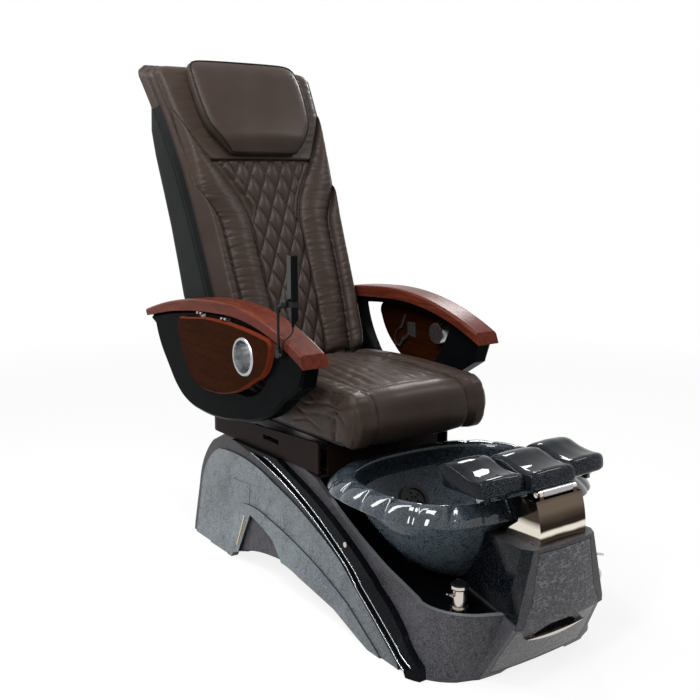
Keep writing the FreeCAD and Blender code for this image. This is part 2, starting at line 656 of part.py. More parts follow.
def side_of_tower(y, z):
    """Half width of the console's outer face at y, between its waist and its cheek."""
    share = (z - LEDGE_Z) / (TOWER_TOP_Z - LEDGE_Z)
    waist_x = WAIST_HALF + (TOWER_TOP_HALF - WAIST_HALF) * share
    waist_y = WAIST_Y + (-562 - WAIST_Y) * share
    cheek_x = CHEEK_HALF + (TOWER_TOP_CHEEK - CHEEK_HALF) * share
    cheek_y = CHEEK_Y - 3 * share
    return waist_x + (cheek_x - waist_x) * (y - waist_y) / (cheek_y - waist_y)


def make_mixer():
    """The water mixer in the console: a body inside, a stick lever and a knob on the sitter's left."""
    lever_x = side_of_tower(MIXER_Y, MIXER_Z)
    knob_x = side_of_tower(MIXER_Y, KNOB_Z)
    inner = lever_x - BASE_WALL - 4
    block = box(inner - 34, inner - 8, MIXER_Y - 8, MIXER_Y + 22, KNOB_Z - 16, MIXER_Z + 16)
    start = inner - 10

    def along(x0, x1, z, radius):
        return rod(vec(x0, MIXER_Y, z), vec(x1, MIXER_Y, z), radius)

    bushes = [along(start, lever_x + 3, MIXER_Z, BUSH_RADIUS), along(start, knob_x + 9.5, KNOB_Z, BUSH_RADIUS)]
    bores = [along(start - 2, lever_x + 9, MIXER_Z, 4 + RUN), along(start - 2, knob_x + 12, KNOB_Z, 4 + RUN)]
    keep("mixer_body", cut(fuse([block] + bushes), *bores))
    spindle = along(start - 1, lever_x + 8, MIXER_Z, 4)
    collar = along(lever_x + 3.3, lever_x + 7, MIXER_Z, 7)
    stick = rod(vec(lever_x + 5, MIXER_Y, MIXER_Z), vec(lever_x + 26, MIXER_Y - 24, MIXER_Z - 2), 3)
    keep("mixer_lever", fuse([spindle, collar, stick]))
    stem = along(start - 1, knob_x + 12, KNOB_Z, 4)
    dome = Part.makeSphere(22, vec(knob_x + 9, MIXER_Y, KNOB_Z))
    dome = dome.common(along(knob_x + 10, knob_x + 40, KNOB_Z, 22))
    keep("diverter_knob", fuse([stem, dome]))
    holes = [along(60, 220, z, BUSH_RADIUS + SEAT_CLEAR) for z in (MIXER_Z, KNOB_Z)]
    keep("base_shell", cut(PIECES["base_shell"], *holes))


def make_pump():
    foot = DECK_Z + SEAT_CLEAR
    axis = foot + 44
    plate = box(-56, 56, PUMP_Y - 40, PUMP_Y + 40, foot, foot + 6)
    can = rod(vec(-44, PUMP_Y, axis), vec(30, PUMP_Y, axis), 36)
    head = rod(vec(30, PUMP_Y, axis), vec(54, PUMP_Y, axis), 30)
    port = rod(vec(42, PUMP_Y, axis), vec(42, PUMP_Y, axis + 50), 12)
    saddle = box(-40, 26, PUMP_Y - 20, PUMP_Y + 20, foot + 5, foot + 20)
    keep("drain_pump", fuse([plate, can, head, port, saddle]))


# Footrest

def make_footrest():
    low = TOWER_TOP_Z + SEAT_CLEAR
    profile = [(-580, low), ("via", -577, 382), (-563, BRACKET_TOP_Z), (-521, BRACKET_TOP_Z), (-508, 370),
               (-476, 345), (-470, low)]
    solid = side_prism(profile, -BRACKET_HALF, BRACKET_HALF)
    inside = BRACKET_HALF - BRACKET_SHEET
    room = side_prism(inset_outline(profile, BRACKET_SHEET), -inside, inside)
    lugs = []
    for x in (-62, 50):
        lug = [(PIVOT_Y - 10, BRACKET_TOP_Z - 1), (PIVOT_Y - 9, PIVOT_Z), ("via", PIVOT_Y, PIVOT_Z + 9),
               (PIVOT_Y + 9, PIVOT_Z), (PIVOT_Y + 12, BRACKET_TOP_Z - 1)]
        lugs.append(side_prism(lug, x, x + 12))
    bar_hole = rod(vec(-80, PIVOT_Y, PIVOT_Z), vec(80, PIVOT_Y, PIVOT_Z), BAR_RADIUS)
    keep("footrest_bracket", cut(fuse([cut(solid, room)] + lugs), bar_hole))
    keep("footrest_bar", rod(vec(-66, PIVOT_Y, PIVOT_Z), vec(66, PIVOT_Y, PIVOT_Z), BAR_RADIUS))
    knuckle = rod(vec(-49, PIVOT_Y, PIVOT_Z), vec(49, PIVOT_Y, PIVOT_Z), 9.5)
    web_top = PAD_BOTTOM_Z - SEAT_CLEAR
    web = box(-46, 46, PIVOT_Y + 4, -430, web_top - 4, web_top)
    reach = PAD_HALF + PAD_GAP + SIDE_PAD_WIDTH - 16
    tube = rod(vec(-reach, CROSS_Y, CROSS_Z), vec(reach, CROSS_Y, CROSS_Z), CROSS_RADIUS)
    bore = rod(vec(-80, PIVOT_Y, PIVOT_Z), vec(80, PIVOT_Y, PIVOT_Z), BAR_RADIUS + RUN)
    keep("footrest_plate", cut(fuse([knuckle, web, tube]), bore))
    make_pads()


def pad_profile(front, rear, drop):
    """Side outline (y, z) of a foot pad: a raised front edge, a hollow and a hump for the heel."""
    low = PAD_BOTTOM_Z
    return [(front + 10, low), (front, low + 12), ("via", front + 4, low + 34 - drop),
            (front + 30, low + 49 - drop),
            ("via", front + 76, low + 38 - drop), (front + 112, low + 55 - drop),
            ("via", front + 130, low + 62 - drop), (front + 154, low + 54 - drop),
            (rear - 6, low + 34 - drop), ("via", rear, low + 16), (rear - 10, low)]


def pad_solid(stations):
    """A loft over stations (x, front, rear, drop)."""
    sections = []
    for x, front, rear, drop in stations:
        sections.append(outline(pad_profile(front, rear, drop), lambda y, z, x=x: vec(x, y, z)))
    return Part.makeLoft(sections, True, True)


def make_pads():
    front = PAD_FRONT_Y
    side_front = SIDE_PAD_FRONT_Y
    rear = PAD_REAR_Y
    half = [(PAD_HALF, front + 4, rear - 6, 10), (PAD_HALF - 8, front, rear, 3), (20, front, rear, 0)]
    centre = [(-x, f, r, d) for x, f, r, d in half] + [row for row in reversed(half)]
    pad = pad_solid(centre)
    around_bar = rod(vec(-90, PIVOT_Y, PIVOT_Z), vec(90, PIVOT_Y, PIVOT_Z), 11)
    keep("foot_pad_centre", cut(pad, around_bar))
    inner = PAD_HALF + PAD_GAP
    outer = inner + SIDE_PAD_WIDTH
    rows = [(inner, side_front + 4, rear - 6, 10), (inner + 8, side_front, rear, 3),
            (inner + 60, side_front, rear, 0), (outer - 18, side_front + 3, rear - 12, 3),
            (outer, side_front + 12, rear - 26, 13)]
    pad = pad_solid(rows)
    middle = (inner + outer) / 2
    lugs = []
    for x in (middle - 34, middle + 20):
        lugs.append(box(x, x + 14, CROSS_Y - 12, CROSS_Y + 12, CROSS_Z - 12, PAD_BOTTOM_Z + 6))
    bore = rod(vec(0, CROSS_Y, CROSS_Z), vec(400, CROSS_Y, CROSS_Z), CROSS_RADIUS + RUN)
    side = cut(fuse([pad] + lugs), bore)
    keep("foot_pad_left", side)
    keep("foot_pad_right", mirrored(side))


# Seat stand and slide

def shroud_outline(inset, front):
    half = SHROUD_HALF - inset
    rear = SHROUD_REAR_Y - inset
    right = [(half, front), (half, rear - 60), ("via", half - 18, rear - 18), (half - 60, rear)]
    left = [(-half + 60, rear), ("via", -half + 18, rear - 18), (-half, rear - 60), (-half, front)]
    return right + left


def make_shroud():
    half = SHROUD_HALF
    bottom = BASE_TOP_Z + SEAT_CLEAR
    rear = SHROUD_REAR_Y
    front_y = SHROUD_FRONT_Y
    outer = plan_prism(shroud_outline(0, front_y), bottom, SHROUD_TOP_Z)
    inner = plan_prism(shroud_outline(BOARD, front_y - 1), bottom - 1, SHROUD_TOP_Z + 1)
    walls = cut(outer, inner)
    slope = side_prism([(front_y - 1, SHROUD_TOP_Z + 1), (front_y - 1, SHROUD_TOP_Z),
                        (rear + 1, SHROUD_TOP_Z - SHROUD_FALL), (rear + 1, SHROUD_TOP_Z + 1)], -300, 300)
    slot = box(-300, 300, 285, 370, 398, 412)
    front = box(-196, 196, front_y + 4, front_y + 4 + BOARD, BASE_TOP_Z - 14, SHROUD_TOP_Z - 6)
    sill = box(-196, 196, front_y + 4, BASE_TOP_FRONT_Y + 60, bottom, bottom + 6)
    ties = [box(x, x + 40, BASE_TOP_FRONT_Y + 20, BASE_TOP_FRONT_Y + 60, bottom, bottom + 6)
            for x in (-230, 190)]
    top_line = [(BASE_TOP_FRONT_Y - 110, -1), (BASE_TOP_FRONT_Y, -1), (BASE_TOP_FRONT_Y, bottom),
                (BASE_TOP_FRONT_Y - 70, bottom - 17), (BASE_TOP_FRONT_Y - 110, bottom - 32)]
    base_top = side_prism(top_line, -300, 300)
    keep("seat_shroud", fuse([cut(walls, slope, slot), cut(front, base_top), sill] + ties))


def make_slide():
    parts = []
    for x in (-RAIL_X, RAIL_X):
        rail = box(x - 15, x + 15, 130, 640, RAIL_Z, RAIL_Z + RAIL_HEIGHT)
        neck = box(x - 7, x + 7, 129, 641, RAIL_Z + 8, RAIL_Z + RAIL_HEIGHT + 1)
        wide = box(x - 11, x + 11, 129, 641, RAIL_Z + 8, RAIL_Z + 16)
        parts.append(cut(rail, neck, wide))
    bottom = BASE_TOP_Z + SEAT_CLEAR
    for y, lift in ((BASE_TOP_FRONT_Y + 15, 6 + SEAT_CLEAR), (400, 0), (BASE_TOP_REAR_Y - 35, 0)):
        parts.append(box(-RAIL_X - 15, RAIL_X + 15, y, y + 30, bottom + lift, RAIL_Z))
    keep("slide_rails", fuse(parts))


def make_seat_frame():
    c = SLIDE_CLEAR
    low = FRAME_LOW_Z
    top = FRAME_TOP_Z
    parts = []
    for x in (-RAIL_X, RAIL_X):
        parts.append(box(x - 7 + c, x + 7 - c, 180, 570, RAIL_Z + 8 + c, low + 1))
        parts.append(box(x - 11 + c, x + 11 - c, 180, 570, RAIL_Z + 8 + c, RAIL_Z + 16 - c))
        parts.append(box(x - 8, x + 8, 176, 574, low, top))
    for x in (-215, 185):
        parts.append(box(x, x + 30, -10, 660, low, top))
    for y in (-10, 150):
        parts.append(box(-215, 215, y, y + 30, low, top))
    parts.append(box(-215, 215, 630, 655, low, top))
    reach = ARM_FRAME_INNER - SEAT_CLEAR
    for y in (400, 500):
        parts.append(box(-reach, reach, y, y + 36, low + 5, top))
    parts.append(box(-SEAT_HALF + 12, SEAT_HALF - 12, -18, SEAT_REAR_Y - 6, top, SEAT_BOTTOM_Z - SEAT_CLEAR))
    ear_x = FRAME_X + 10
    for x in (ear_x, -ear_x - FRAME_PLATE):
        ear = [(HINGE_Y - 30, top - 10), (HINGE_Y - 20, HINGE_Z), ("via", HINGE_Y, HINGE_Z + 20),
               (HINGE_Y + 20, HINGE_Z), (HINGE_Y + 30, top - 10)]
        parts.append(side_prism(ear, x, x + FRAME_PLATE))
    for side in (-1, 1):
        start = vec(side * (FRAME_X - 8), HINGE_Y, HINGE_Z)
        end = vec(side * (FRAME_X + 26), HINGE_Y, HINGE_Z)
        parts.append(rod(start, end, HINGE_PIN))
    keep("seat_frame", fuse(parts))


def seat_section(x, inset, dip, crown):
    top = SEAT_TOP_Z - dip
    low = SEAT_FLAP_Z + inset * 0.6
    spec = [(SEAT_REAR_Y - inset, SEAT_BOTTOM_Z), ("via", SEAT_REAR_Y + 5 - inset, 552),
            (SEAT_REAR_Y - 10 - inset, top - 6), ("via", 210, top + crown), (-12, top - 4),
            ("via", SEAT_FRONT_Y + 14 + inset, top - 22), (SEAT_FRONT_Y + inset, 548),
            ("via", SEAT_FRONT_Y - 1 + inset, 492 + inset), (SEAT_FRONT_Y + 24 + inset, low),
            (-36, low), ("via", -24, 474 + inset * 0.3), (-22, SEAT_BOTTOM_Z)]
    return outline(spec, lambda y, z: vec(x, y, z))


def make_seat_cushion():
    """A wide middle panel between two side rolls, with a seam let in along each of them."""
    half = SEAT_HALF
    stations = [(half, 26, 26, 1), (half - 6, 12, 10, 2), (half - 26, 0, 1, 5), (half - 58, 0, 0, 5),
                (half - 79, 4, 6, 4), (half - 84, 7, 10, 4), (half - 89, 4, 7, 5), (half - 150, 0, 2, 7)]
    rows = [(-x, i, d, c) for x, i, d, c in stations] + [(0, 0, 0, 8)]
    rows += [(x, i, d, c) for x, i, d, c in reversed(stations)]
    keep("seat_cushion", Part.makeLoft([seat_section(*row) for row in rows], True, True))


# Arms

CAP_SPEC = [(918, 729), ("via", 705, 779), (470, 803), ("via", 228, 787), (4, 711), (-10, 676),
            ("via", 205, 752), (440, 768), ("via", 690, 748), (906, 708)]
ARM_FRAME_SPEC = [(899, 709.6), ("via", 690, 748), (440, 768), ("via", 205, 752), (6, 684), (24, 620),
                  (102, 572), ("via", 215, 500), (343, 470), ("via", 474, 452), (601, 455),
                  ("via", 700, 482), (767, 536), (823, 598), ("via", 858, 650), (872, 684)]
HOLE_SPEC = [(603, 738), ("via", 581, 669), (540, 601), ("via", 504, 564), (462, 550), (296, 550),
             ("via", 240, 566), (188, 609), ("via", 153, 668), (128, 718), (146, 724), ("via", 378, 751),
             (558, 742)]
NEAR_TRAY_SPEC = [(646, 734), ("via", 672, 725), (676, 702), ("via", 658, 650), (628, 601),
                  ("via", 566, 548), (479, 535), ("via", 377, 545), (288, 574), (211, 614),
                  ("via", 152, 664), (141, 700), ("via", 142, 720), (165, 733), ("via", 330, 749),
                  (510, 749)]
FAR_TRAY_SPEC = [(518, 742), ("via", 533, 729), (531, 700), ("via", 506, 652), (460, 605), ("via", 400, 566),
                 (340, 555), ("via", 290, 562), (245, 590), (195, 640), ("via", 158, 680), (150, 705),
                 ("via", 152, 726), (172, 737), ("via", 320, 752), (450, 750)]
# Of each tray: its side (1 is the sitter's left), its outline, the cup's y, z and radius, its hinges' y,
# and the y of its latch
TRAYS = {"left": (1, FAR_TRAY_SPEC, 222.0, 678.0, 37.0, (290.0, 430.0), 412.0),
         "right": (-1, NEAR_TRAY_SPEC, 276.0, 668.0, 47.0, (395.0, 541.0), 444.0)}
TRAY_X = ARM_FRAME_OUTER + TRAY_GAP
AXIS_X = TRAY_X + TRAY_THICK / 2
CUP_LIP = 7.0


def arm_cap():
    cap = side_prism(CAP_SPEC, ARM_INNER, ARM_OUTER)
    edges = []
    for edge in cap.Edges:
        ends = [v.Point for v in edge.Vertexes]
        middle = edge.valueAt((edge.FirstParameter + edge.LastParameter) / 2)
        along = abs(ends[0].x - ends[1].x) < 0.01
        top = middle.y > 20 and min(p.z for p in ends) > 705
        if along and top and abs(middle.z - cap_top(middle.y)) < 6:
            edges.append(edge)
    return cap.makeFillet(CAP_ROUND, edges)


def cap_top(y):
    """Rough height of the cap's upper face, used only to tell its upper edges from the lower ones."""
    if y > 470:
        return 803 - 74 * ((y - 470) / 448.0) ** 2
    return 803 - 92 * ((470 - y) / 466.0) ** 2


def arm_frame(hinges):
    spec = lowered(ARM_FRAME_SPEC, SEAT_CLEAR)
    frame = bevelled_plate(spec, ARM_FRAME_INNER, ARM_FRAME_OUTER, FRAME_BEVEL)
    hole = side_prism(HOLE_SPEC, ARM_FRAME_INNER - 1, ARM_FRAME_OUTER + 1)
    rests = [box(ARM_FRAME_OUTER - 3, ARM_FRAME_OUTER + 1, y - 17, y + 17, 741, 775) for y in hinges]
    return cut(frame, hole, *rests)


def make_arms():
    cap = arm_cap()
    for name, (side, spec, cup_y, cup_z, radius, hinges, latch_y) in TRAYS.items():
        frame = arm_frame(hinges)
        tray = make_tray(spec, cup_y, cup_z, radius, hinges)
        cup = make_cup(cup_y, cup_z, radius)
        stay = make_stay(latch_y)
        for piece, shape in (("arm_cap_", cap), ("arm_frame_", frame), ("tray_", tray), ("cup_holder_", cup),
                             ("tray_stay_", stay)):
            keep(piece + name, shape if side > 0 else mirrored(shape))
    leaves = [make_hinges(TRAYS["left"][5]), mirrored(make_hinges(TRAYS["right"][5]))]
    keep("tray_hinges", *leaves)


def axis_point(y):
    return vec(AXIS_X, y, TRAY_AXIS_Z)


def make_tray(spec, cup_y, cup_z, radius, hinges):
    plate = bevelled_plate(spec, TRAY_X, TRAY_X + TRAY_THICK, TRAY_BEVEL)
    hole = rod(vec(TRAY_X - 1, cup_y, cup_z), vec(TRAY_X + TRAY_THICK + 1, cup_y, cup_z), radius + 1)
    parts = [cut(plate, hole)]
    for y in hinges:
        barrel = rod(axis_point(y - 5), axis_point(y + 5), KNUCKLE_RADIUS)
        leaf = box(AXIS_X - 1.4, AXIS_X + 1.4, y - 5, y + 5, 736, TRAY_AXIS_Z)
        parts.append(fuse([barrel, leaf]))
    bores = [rod(axis_point(y - 6), axis_point(y + 6), 2 + RUN) for y in hinges]
    return cut(fuse(parts), *bores)


def make_cup(cup_y, cup_z, radius):
    face = TRAY_X + TRAY_THICK
    lip = face + SEAT_CLEAR
    floor = face - CUP_DEPTH
    profile = [(lip, radius + CUP_LIP), (lip + 3, radius + CUP_LIP - 2), (lip + 3, radius - 1),
               (floor, radius - 7), (floor, 0), (floor - 2, 0), (floor - 2, radius - 5), (lip, radius)]
    section = Part.Face(outline(profile, lambda x, r: vec(x, cup_y, cup_z + r)))
    return section.revolve(vec(0, cup_y, cup_z), vec(1, 0, 0), 360)


def make_hinges(hinges):
    """The leaves and pins on the arm frame's outer face."""
    parts = []
    for y in hinges:
        for side in (-1, 1):
            start = y + side * 5.3
            end = y + side * 15
            parts.append(rod(axis_point(start), axis_point(end), KNUCKLE_RADIUS))
            parts.append(box(ARM_FRAME_OUTER - 1, AXIS_X, min(start, end), max(start, end),
                             TRAY_AXIS_Z - 1.5, TRAY_AXIS_Z + 1.5))
        parts.append(rod(axis_point(y - 15), axis_point(y + 15), 2))
        parts.append(box(ARM_FRAME_OUTER - 2.7, ARM_FRAME_OUTER, y - 16, y + 16, 742, TRAY_AXIS_Z + 1.5))
    return fuse(parts)


def make_stay(y):
    """The latch on a tray's inner face: a screwed plate and a curved arm with a ring; y is its tip."""
    outer = TRAY_X - SEAT_CLEAR
    plate = side_prism([(y - 62, 644), (y - 22, 650), (y - 20, 690), (y - 58, 692)], outer - 3, outer)
    holes = [rod(vec(outer - 5, y + dy, z), vec(outer + 1, y + dy, z), 3)
             for dy, z in ((-29, 681), (-52, 682), (-31, 660), (-54, 654))]
    curve = [(y - 8, 716), (y + 12, 674), ("via", y + 37, 648), (y + 44, 625), ("via", y + 23, 605),
             (y + 3, 622), (y - 24, 640), (y - 24, 652), (y + 10, 634), ("via", y + 23, 612),
             (y + 38, 630), ("via", y + 26, 657), (y + 3, 668), (y - 16, 712)]
    arm = side_prism(curve, outer - 6, outer - 1.5)
    return cut(fuse([plate, arm]), *holes)


# Remote control on its stand

def remote_turned(shape):
    copy = shape.copy()
    copy.rotate(vec(REMOTE_X, REMOTE_Y, 0), vec(0, 0, 1), REMOTE_TURN)
    return copy


def remote_ring(grow, low, high):
    """A slab of the remote's own outline, moved out by grow."""
    t = REMOTE_T / 2 + grow
    w = REMOTE_W / 2 + grow
    r = 6 + grow
    spec = [(t, w - r), (t, r - w), ("via", t - 0.29 * r, 0.29 * r - w), (t - r, -w), (r - t, -w),
            ("via", 0.29 * r - t, 0.29 * r - w), (-t, r - w), (-t, w - r),
            ("via", 0.29 * r - t, w - 0.29 * r),
            (r - t, w), (t - r, w), ("via", t - 0.29 * r, w - 0.29 * r)]
    return plan_prism([("via", REMOTE_X + p[1], REMOTE_Y + p[2]) if p[0] == "via"
                       else (REMOTE_X + p[0], REMOTE_Y + p[1]) for p in spec], low, high)


def make_remote():
    frame_face = -(ARM_FRAME_OUTER + SEAT_CLEAR)
    clip = box(POST_X - 5, frame_face, POST_Y - 9, POST_Y + 9, CLIP_Z - 11, CLIP_Z + 11)
    gland = box(POST_X - 5, POST_X + 5, CORD_END_Y - 5, POST_Y - 8, CLIP_Z - 5, CORD_END_Z)
    post = rod(vec(POST_X, POST_Y, CLIP_Z + 1), vec(POST_X, POST_Y, POST_TOP_Z), POST_RADIUS)
    pivot = rod(vec(POST_X, POST_Y, POST_TOP_Z - 2), vec(POST_X, POST_Y, POST_TOP_Z + 10), 2.5)
    keep("remote_stand", fuse([clip, gland, post, pivot]))
    low = POST_TOP_Z + SEAT_CLEAR
    socket = rod(vec(POST_X, POST_Y, low), vec(POST_X, POST_Y, low + 15), 7)
    bore = rod(vec(POST_X, POST_Y, low - 1), vec(POST_X, POST_Y, low + 11), 2.5 + RUN)
    ball_at = vec((POST_X + REMOTE_X) / 2 - 2, REMOTE_Y + 14, POST_TOP_Z + 24)
    ball = Part.makeSphere(12, ball_at)
    bridge = rod(vec(POST_X, POST_Y, low + 10), ball_at, 6)
    collar = remote_turned(remote_ring(3.5, POST_TOP_Z + 17, POST_TOP_Z + 31))
    room = remote_turned(remote_ring(SEAT_CLEAR, REMOTE_LOW_Z, REMOTE_TOP_Z))
    keep("remote_cradle", cut(fuse([socket, bridge, ball, collar]), bore, room))
    body = remote_ring(0, REMOTE_LOW_Z + 14, REMOTE_TOP_Z)
    wide = box(REMOTE_X - REMOTE_T / 2 + 1, REMOTE_X + REMOTE_T / 2 - 1, REMOTE_Y - 16, REMOTE_Y + 16,
               REMOTE_LOW_Z + 5, REMOTE_LOW_Z + 15)
    narrow = box(REMOTE_X - 6, REMOTE_X + 6, REMOTE_Y - 9, REMOTE_Y + 9, REMOTE_LOW_Z - 1, REMOTE_LOW_Z + 6)
    relief = rod(vec(REMOTE_X, REMOTE_Y, CORD_POINTS[0][2]), vec(REMOTE_X, REMOTE_Y, REMOTE_LOW_Z), 4)
    pockets = []
    for i, name in enumerate(("remote_button_power", "remote_button_up", "remote_button_down")):
        z = REMOTE_TOP_Z - 36 - 22 * i
        face = REMOTE_X + REMOTE_T / 2
        pockets.append(rod(vec(face - 4, REMOTE_Y, z), vec(face + 1, REMOTE_Y, z), 6.3))
        keep(name, remote_turned(rod(vec(face - 2.6, REMOTE_Y, z), vec(face + 1.2, REMOTE_Y, z), 6.1)))
    keep("remote_body", remote_turned(cut(fuse([body, wide, narrow, relief]), *pockets)))


CORD_DIAMETER = 4.0
CORD_END_Y = 76.0
CORD_END_Z = CLIP_Z + 3
CORD_POINTS = [(REMOTE_X, REMOTE_Y, 776.0), (REMOTE_X, REMOTE_Y, 756.0), (POST_X + 1, 66.0, 744.0),
               (POST_X, CORD_END_Y, 724.0), (POST_X, CORD_END_Y, CORD_END_Z)]


def tube_along(points, diameter):
    """Straight runs joined by tangent arcs, swept with a round section; prints the arc radii."""
    pts = [vec(*p) for p in points]
    edges = []
    start = pts[0]
    radii = []
    for before, corner, after in zip(pts, pts[1:], pts[2:]):
        run_in = corner - before
        run_out = after - corner
        turn = run_in.getAngle(run_out)
        back = 0.45 * min(run_in.Length, run_out.Length)
        radius = back / math.tan(turn / 2)
        radii.append(round(radius, 1))
        a = corner - run_in.normalize() * back
        b = corner + run_out.normalize() * back
        bisect = (a + b) * 0.5 - corner
        far = radius / math.cos(turn / 2) - radius
        middle = corner + bisect.normalize() * far
        edges.append(Part.LineSegment(start, a).toShape())
        edges.append(Part.Arc(a, middle, b).toShape())
        start = b
    edges.append(Part.LineSegment(start, pts[-1]).toShape())
    path = Part.Wire(edges)
    circle = Part.makeCircle(diameter / 2, pts[0], pts[1] - pts[0])
    tube = path.makePipeShell([Part.Wire([circle])], True, False)
    ratio = tube.Volume / (math.pi * diameter ** 2 / 4 * path.Length)
    print("cord length", round(path.Length, 1), "radii", radii, "volume ratio", round(ratio, 4))
    return tube


# Backrest, built in its own frame: y runs back from the front face, z (u) runs up along it

def leaned(shape):
    copy = shape.copy()
    copy.rotate(vec(0, 0, 0), vec(1, 0, 0), -LEAN)
    copy.translate(vec(0, BACK_Y, BACK_Z))
    return copy


def upright(y, z):
    """A point of the side view, given where it stands, in the backrest's own frame."""
    angle = math.radians(LEAN)
    dy = y - BACK_Y
    dz = z - BACK_Z
    return (dy * math.cos(angle) - dz * math.sin(angle), dy * math.sin(angle) + dz * math.cos(angle))


def bend(u):
    """How far the backrest curves back at height u."""
    return BEND_DEPTH * (max(u - BEND_START, 0.0) / BEND_LENGTH) ** 1.5


def back_section(u, w, s, c, wing, bolster, crown, thick, valley):
    """Half width w, bolster seams at s and c, and how far wings, bolsters and crown stand forward."""
    n = bend(u)
    right = [(c, n + valley), ("via", (s + c) / 2, n - bolster), (s, n + valley),
             ("via", (w + s) / 2 + 6, n - wing), (w, n + 14), ("via", w - 4, n + thick - 14),
             (w - 22, n + thick)]
    left = [("via", -p[1], p[2]) if p[0] == "via" else (-p[0], p[1]) for p in reversed(right)]
    return outline(right + left + [("via", 0, n - crown)], lambda x, y: vec(x, y, u))


T = BACK_THICK
BACK_STATIONS = [(-195, 222, 172, 78, 0, 0, 0, T - 14, 10),
                 (-176, 230, 178, 81, 22, 14, 8, T - 4, 8),
                 (-140, 238, 183, 83, 32, 22, 12, T, 4),
                 (20, 247, 188, 85, 38, 26, 14, T, 2),
                 (190, 252, 190, 87, 42, 28, 14, T, 2),
                 (250, 255, 192, 87, 42, 28, 14, T, 2),
                 (320, 257, 224, 104, 40, 28, 14, T, 2),
                 (430, 265, 238, 164, 34, 24, 15, T, 0),
                 (480, 270, 242, 186, 28, 18, 17, T, -4),
                 (560, 274, 246, 196, 25, 16, 18, T, -5),
                 (640, 278, 250, 202, 22, 14, 18, T, -6),
                 (720, 285, 252, 204, 18, 12, 18, T, -6),
                 (764, 289, 250, 200, 14, 10, 16, T, -4),
                 (786, 276, 236, 190, 8, 6, 12, T - 8, 0),
                 (800, 240, 208, 172, -8, -8, -4, T - 22, 14)]


def make_back_cushion():
    sections = [back_section(*row) for row in BACK_STATIONS]
    keep("back_cushion", leaned(Part.makeLoft(sections, True, True)))


def pillow_section(u, half, thick):
    back = bend(u) - 18 - PILLOW_GAP
    front = back - thick
    right = [(half * 0.8, front + 4), ("via", half * 0.95, front + 0.25 * thick), (half, back - 0.3 * thick),
             (half - 8, back)]
    left = [("via", -p[1], p[2]) if p[0] == "via" else (-p[0], p[1]) for p in reversed(right)]
    return outline(right + left + [("via", 0, front)], lambda x, y: vec(x, y, u))


PILLOW_STATIONS = [(472, 108, 24), (480, 122, 42), (520, 156, 50), (570, 184, 52), (640, 193, 50),
                   (715, 191, 47), (765, 184, 42), (781, 174, 32), (788, 160, 18)]


def make_pillow():
    keep("head_pillow", leaned(Part.makeLoft([pillow_section(*row) for row in PILLOW_STATIONS], True, True)))


def shell_section(u, half, depth, wall, front):
    h = half - wall
    d = depth - wall
    f = front + bend(u)
    spec = [(-h, f), (-h, d - 45), ("via", -h + 12, d - 12), (-h + 45, d), (h - 45, d),
            ("via", h - 12, d - 12), (h, d - 45), (h, f)]
    return outline(spec, lambda x, y: vec(x, y, u))


# Height, half width and depth of the moulded shell behind the cushion
SHELL_ROWS = [(-186, 214, 204), (-120, 230, 238), (0, 247, 256), (95, 252, 260), (190, 253, 252),
              (320, 256, 240), (430, 262, 230), (480, 264, 228), (560, 266, 226), (640, 266, 220),
              (720, 261, 194), (768, 246, 146)]


def make_back_shell():
    front = BACK_THICK + SEAT_CLEAR
    outer = Part.makeLoft([shell_section(u, w, d, 0, front) for u, w, d in SHELL_ROWS], True, True)
    rows = list(SHELL_ROWS)
    rows[0] = (rows[0][0] + SHELL_WALL, rows[0][1], rows[0][2])
    rows[-1] = (rows[-1][0] - SHELL_WALL, rows[-1][1], rows[-1][2])
    inner = Part.makeLoft([shell_section(u, w, d, SHELL_WALL, front - 6) for u, w, d in rows], True, True)
    gap = box(-FRAME_X - 22, FRAME_X + 22, 0, 140, -200, -110)
    keep("back_shell", leaned(cut(outer, inner, gap)))


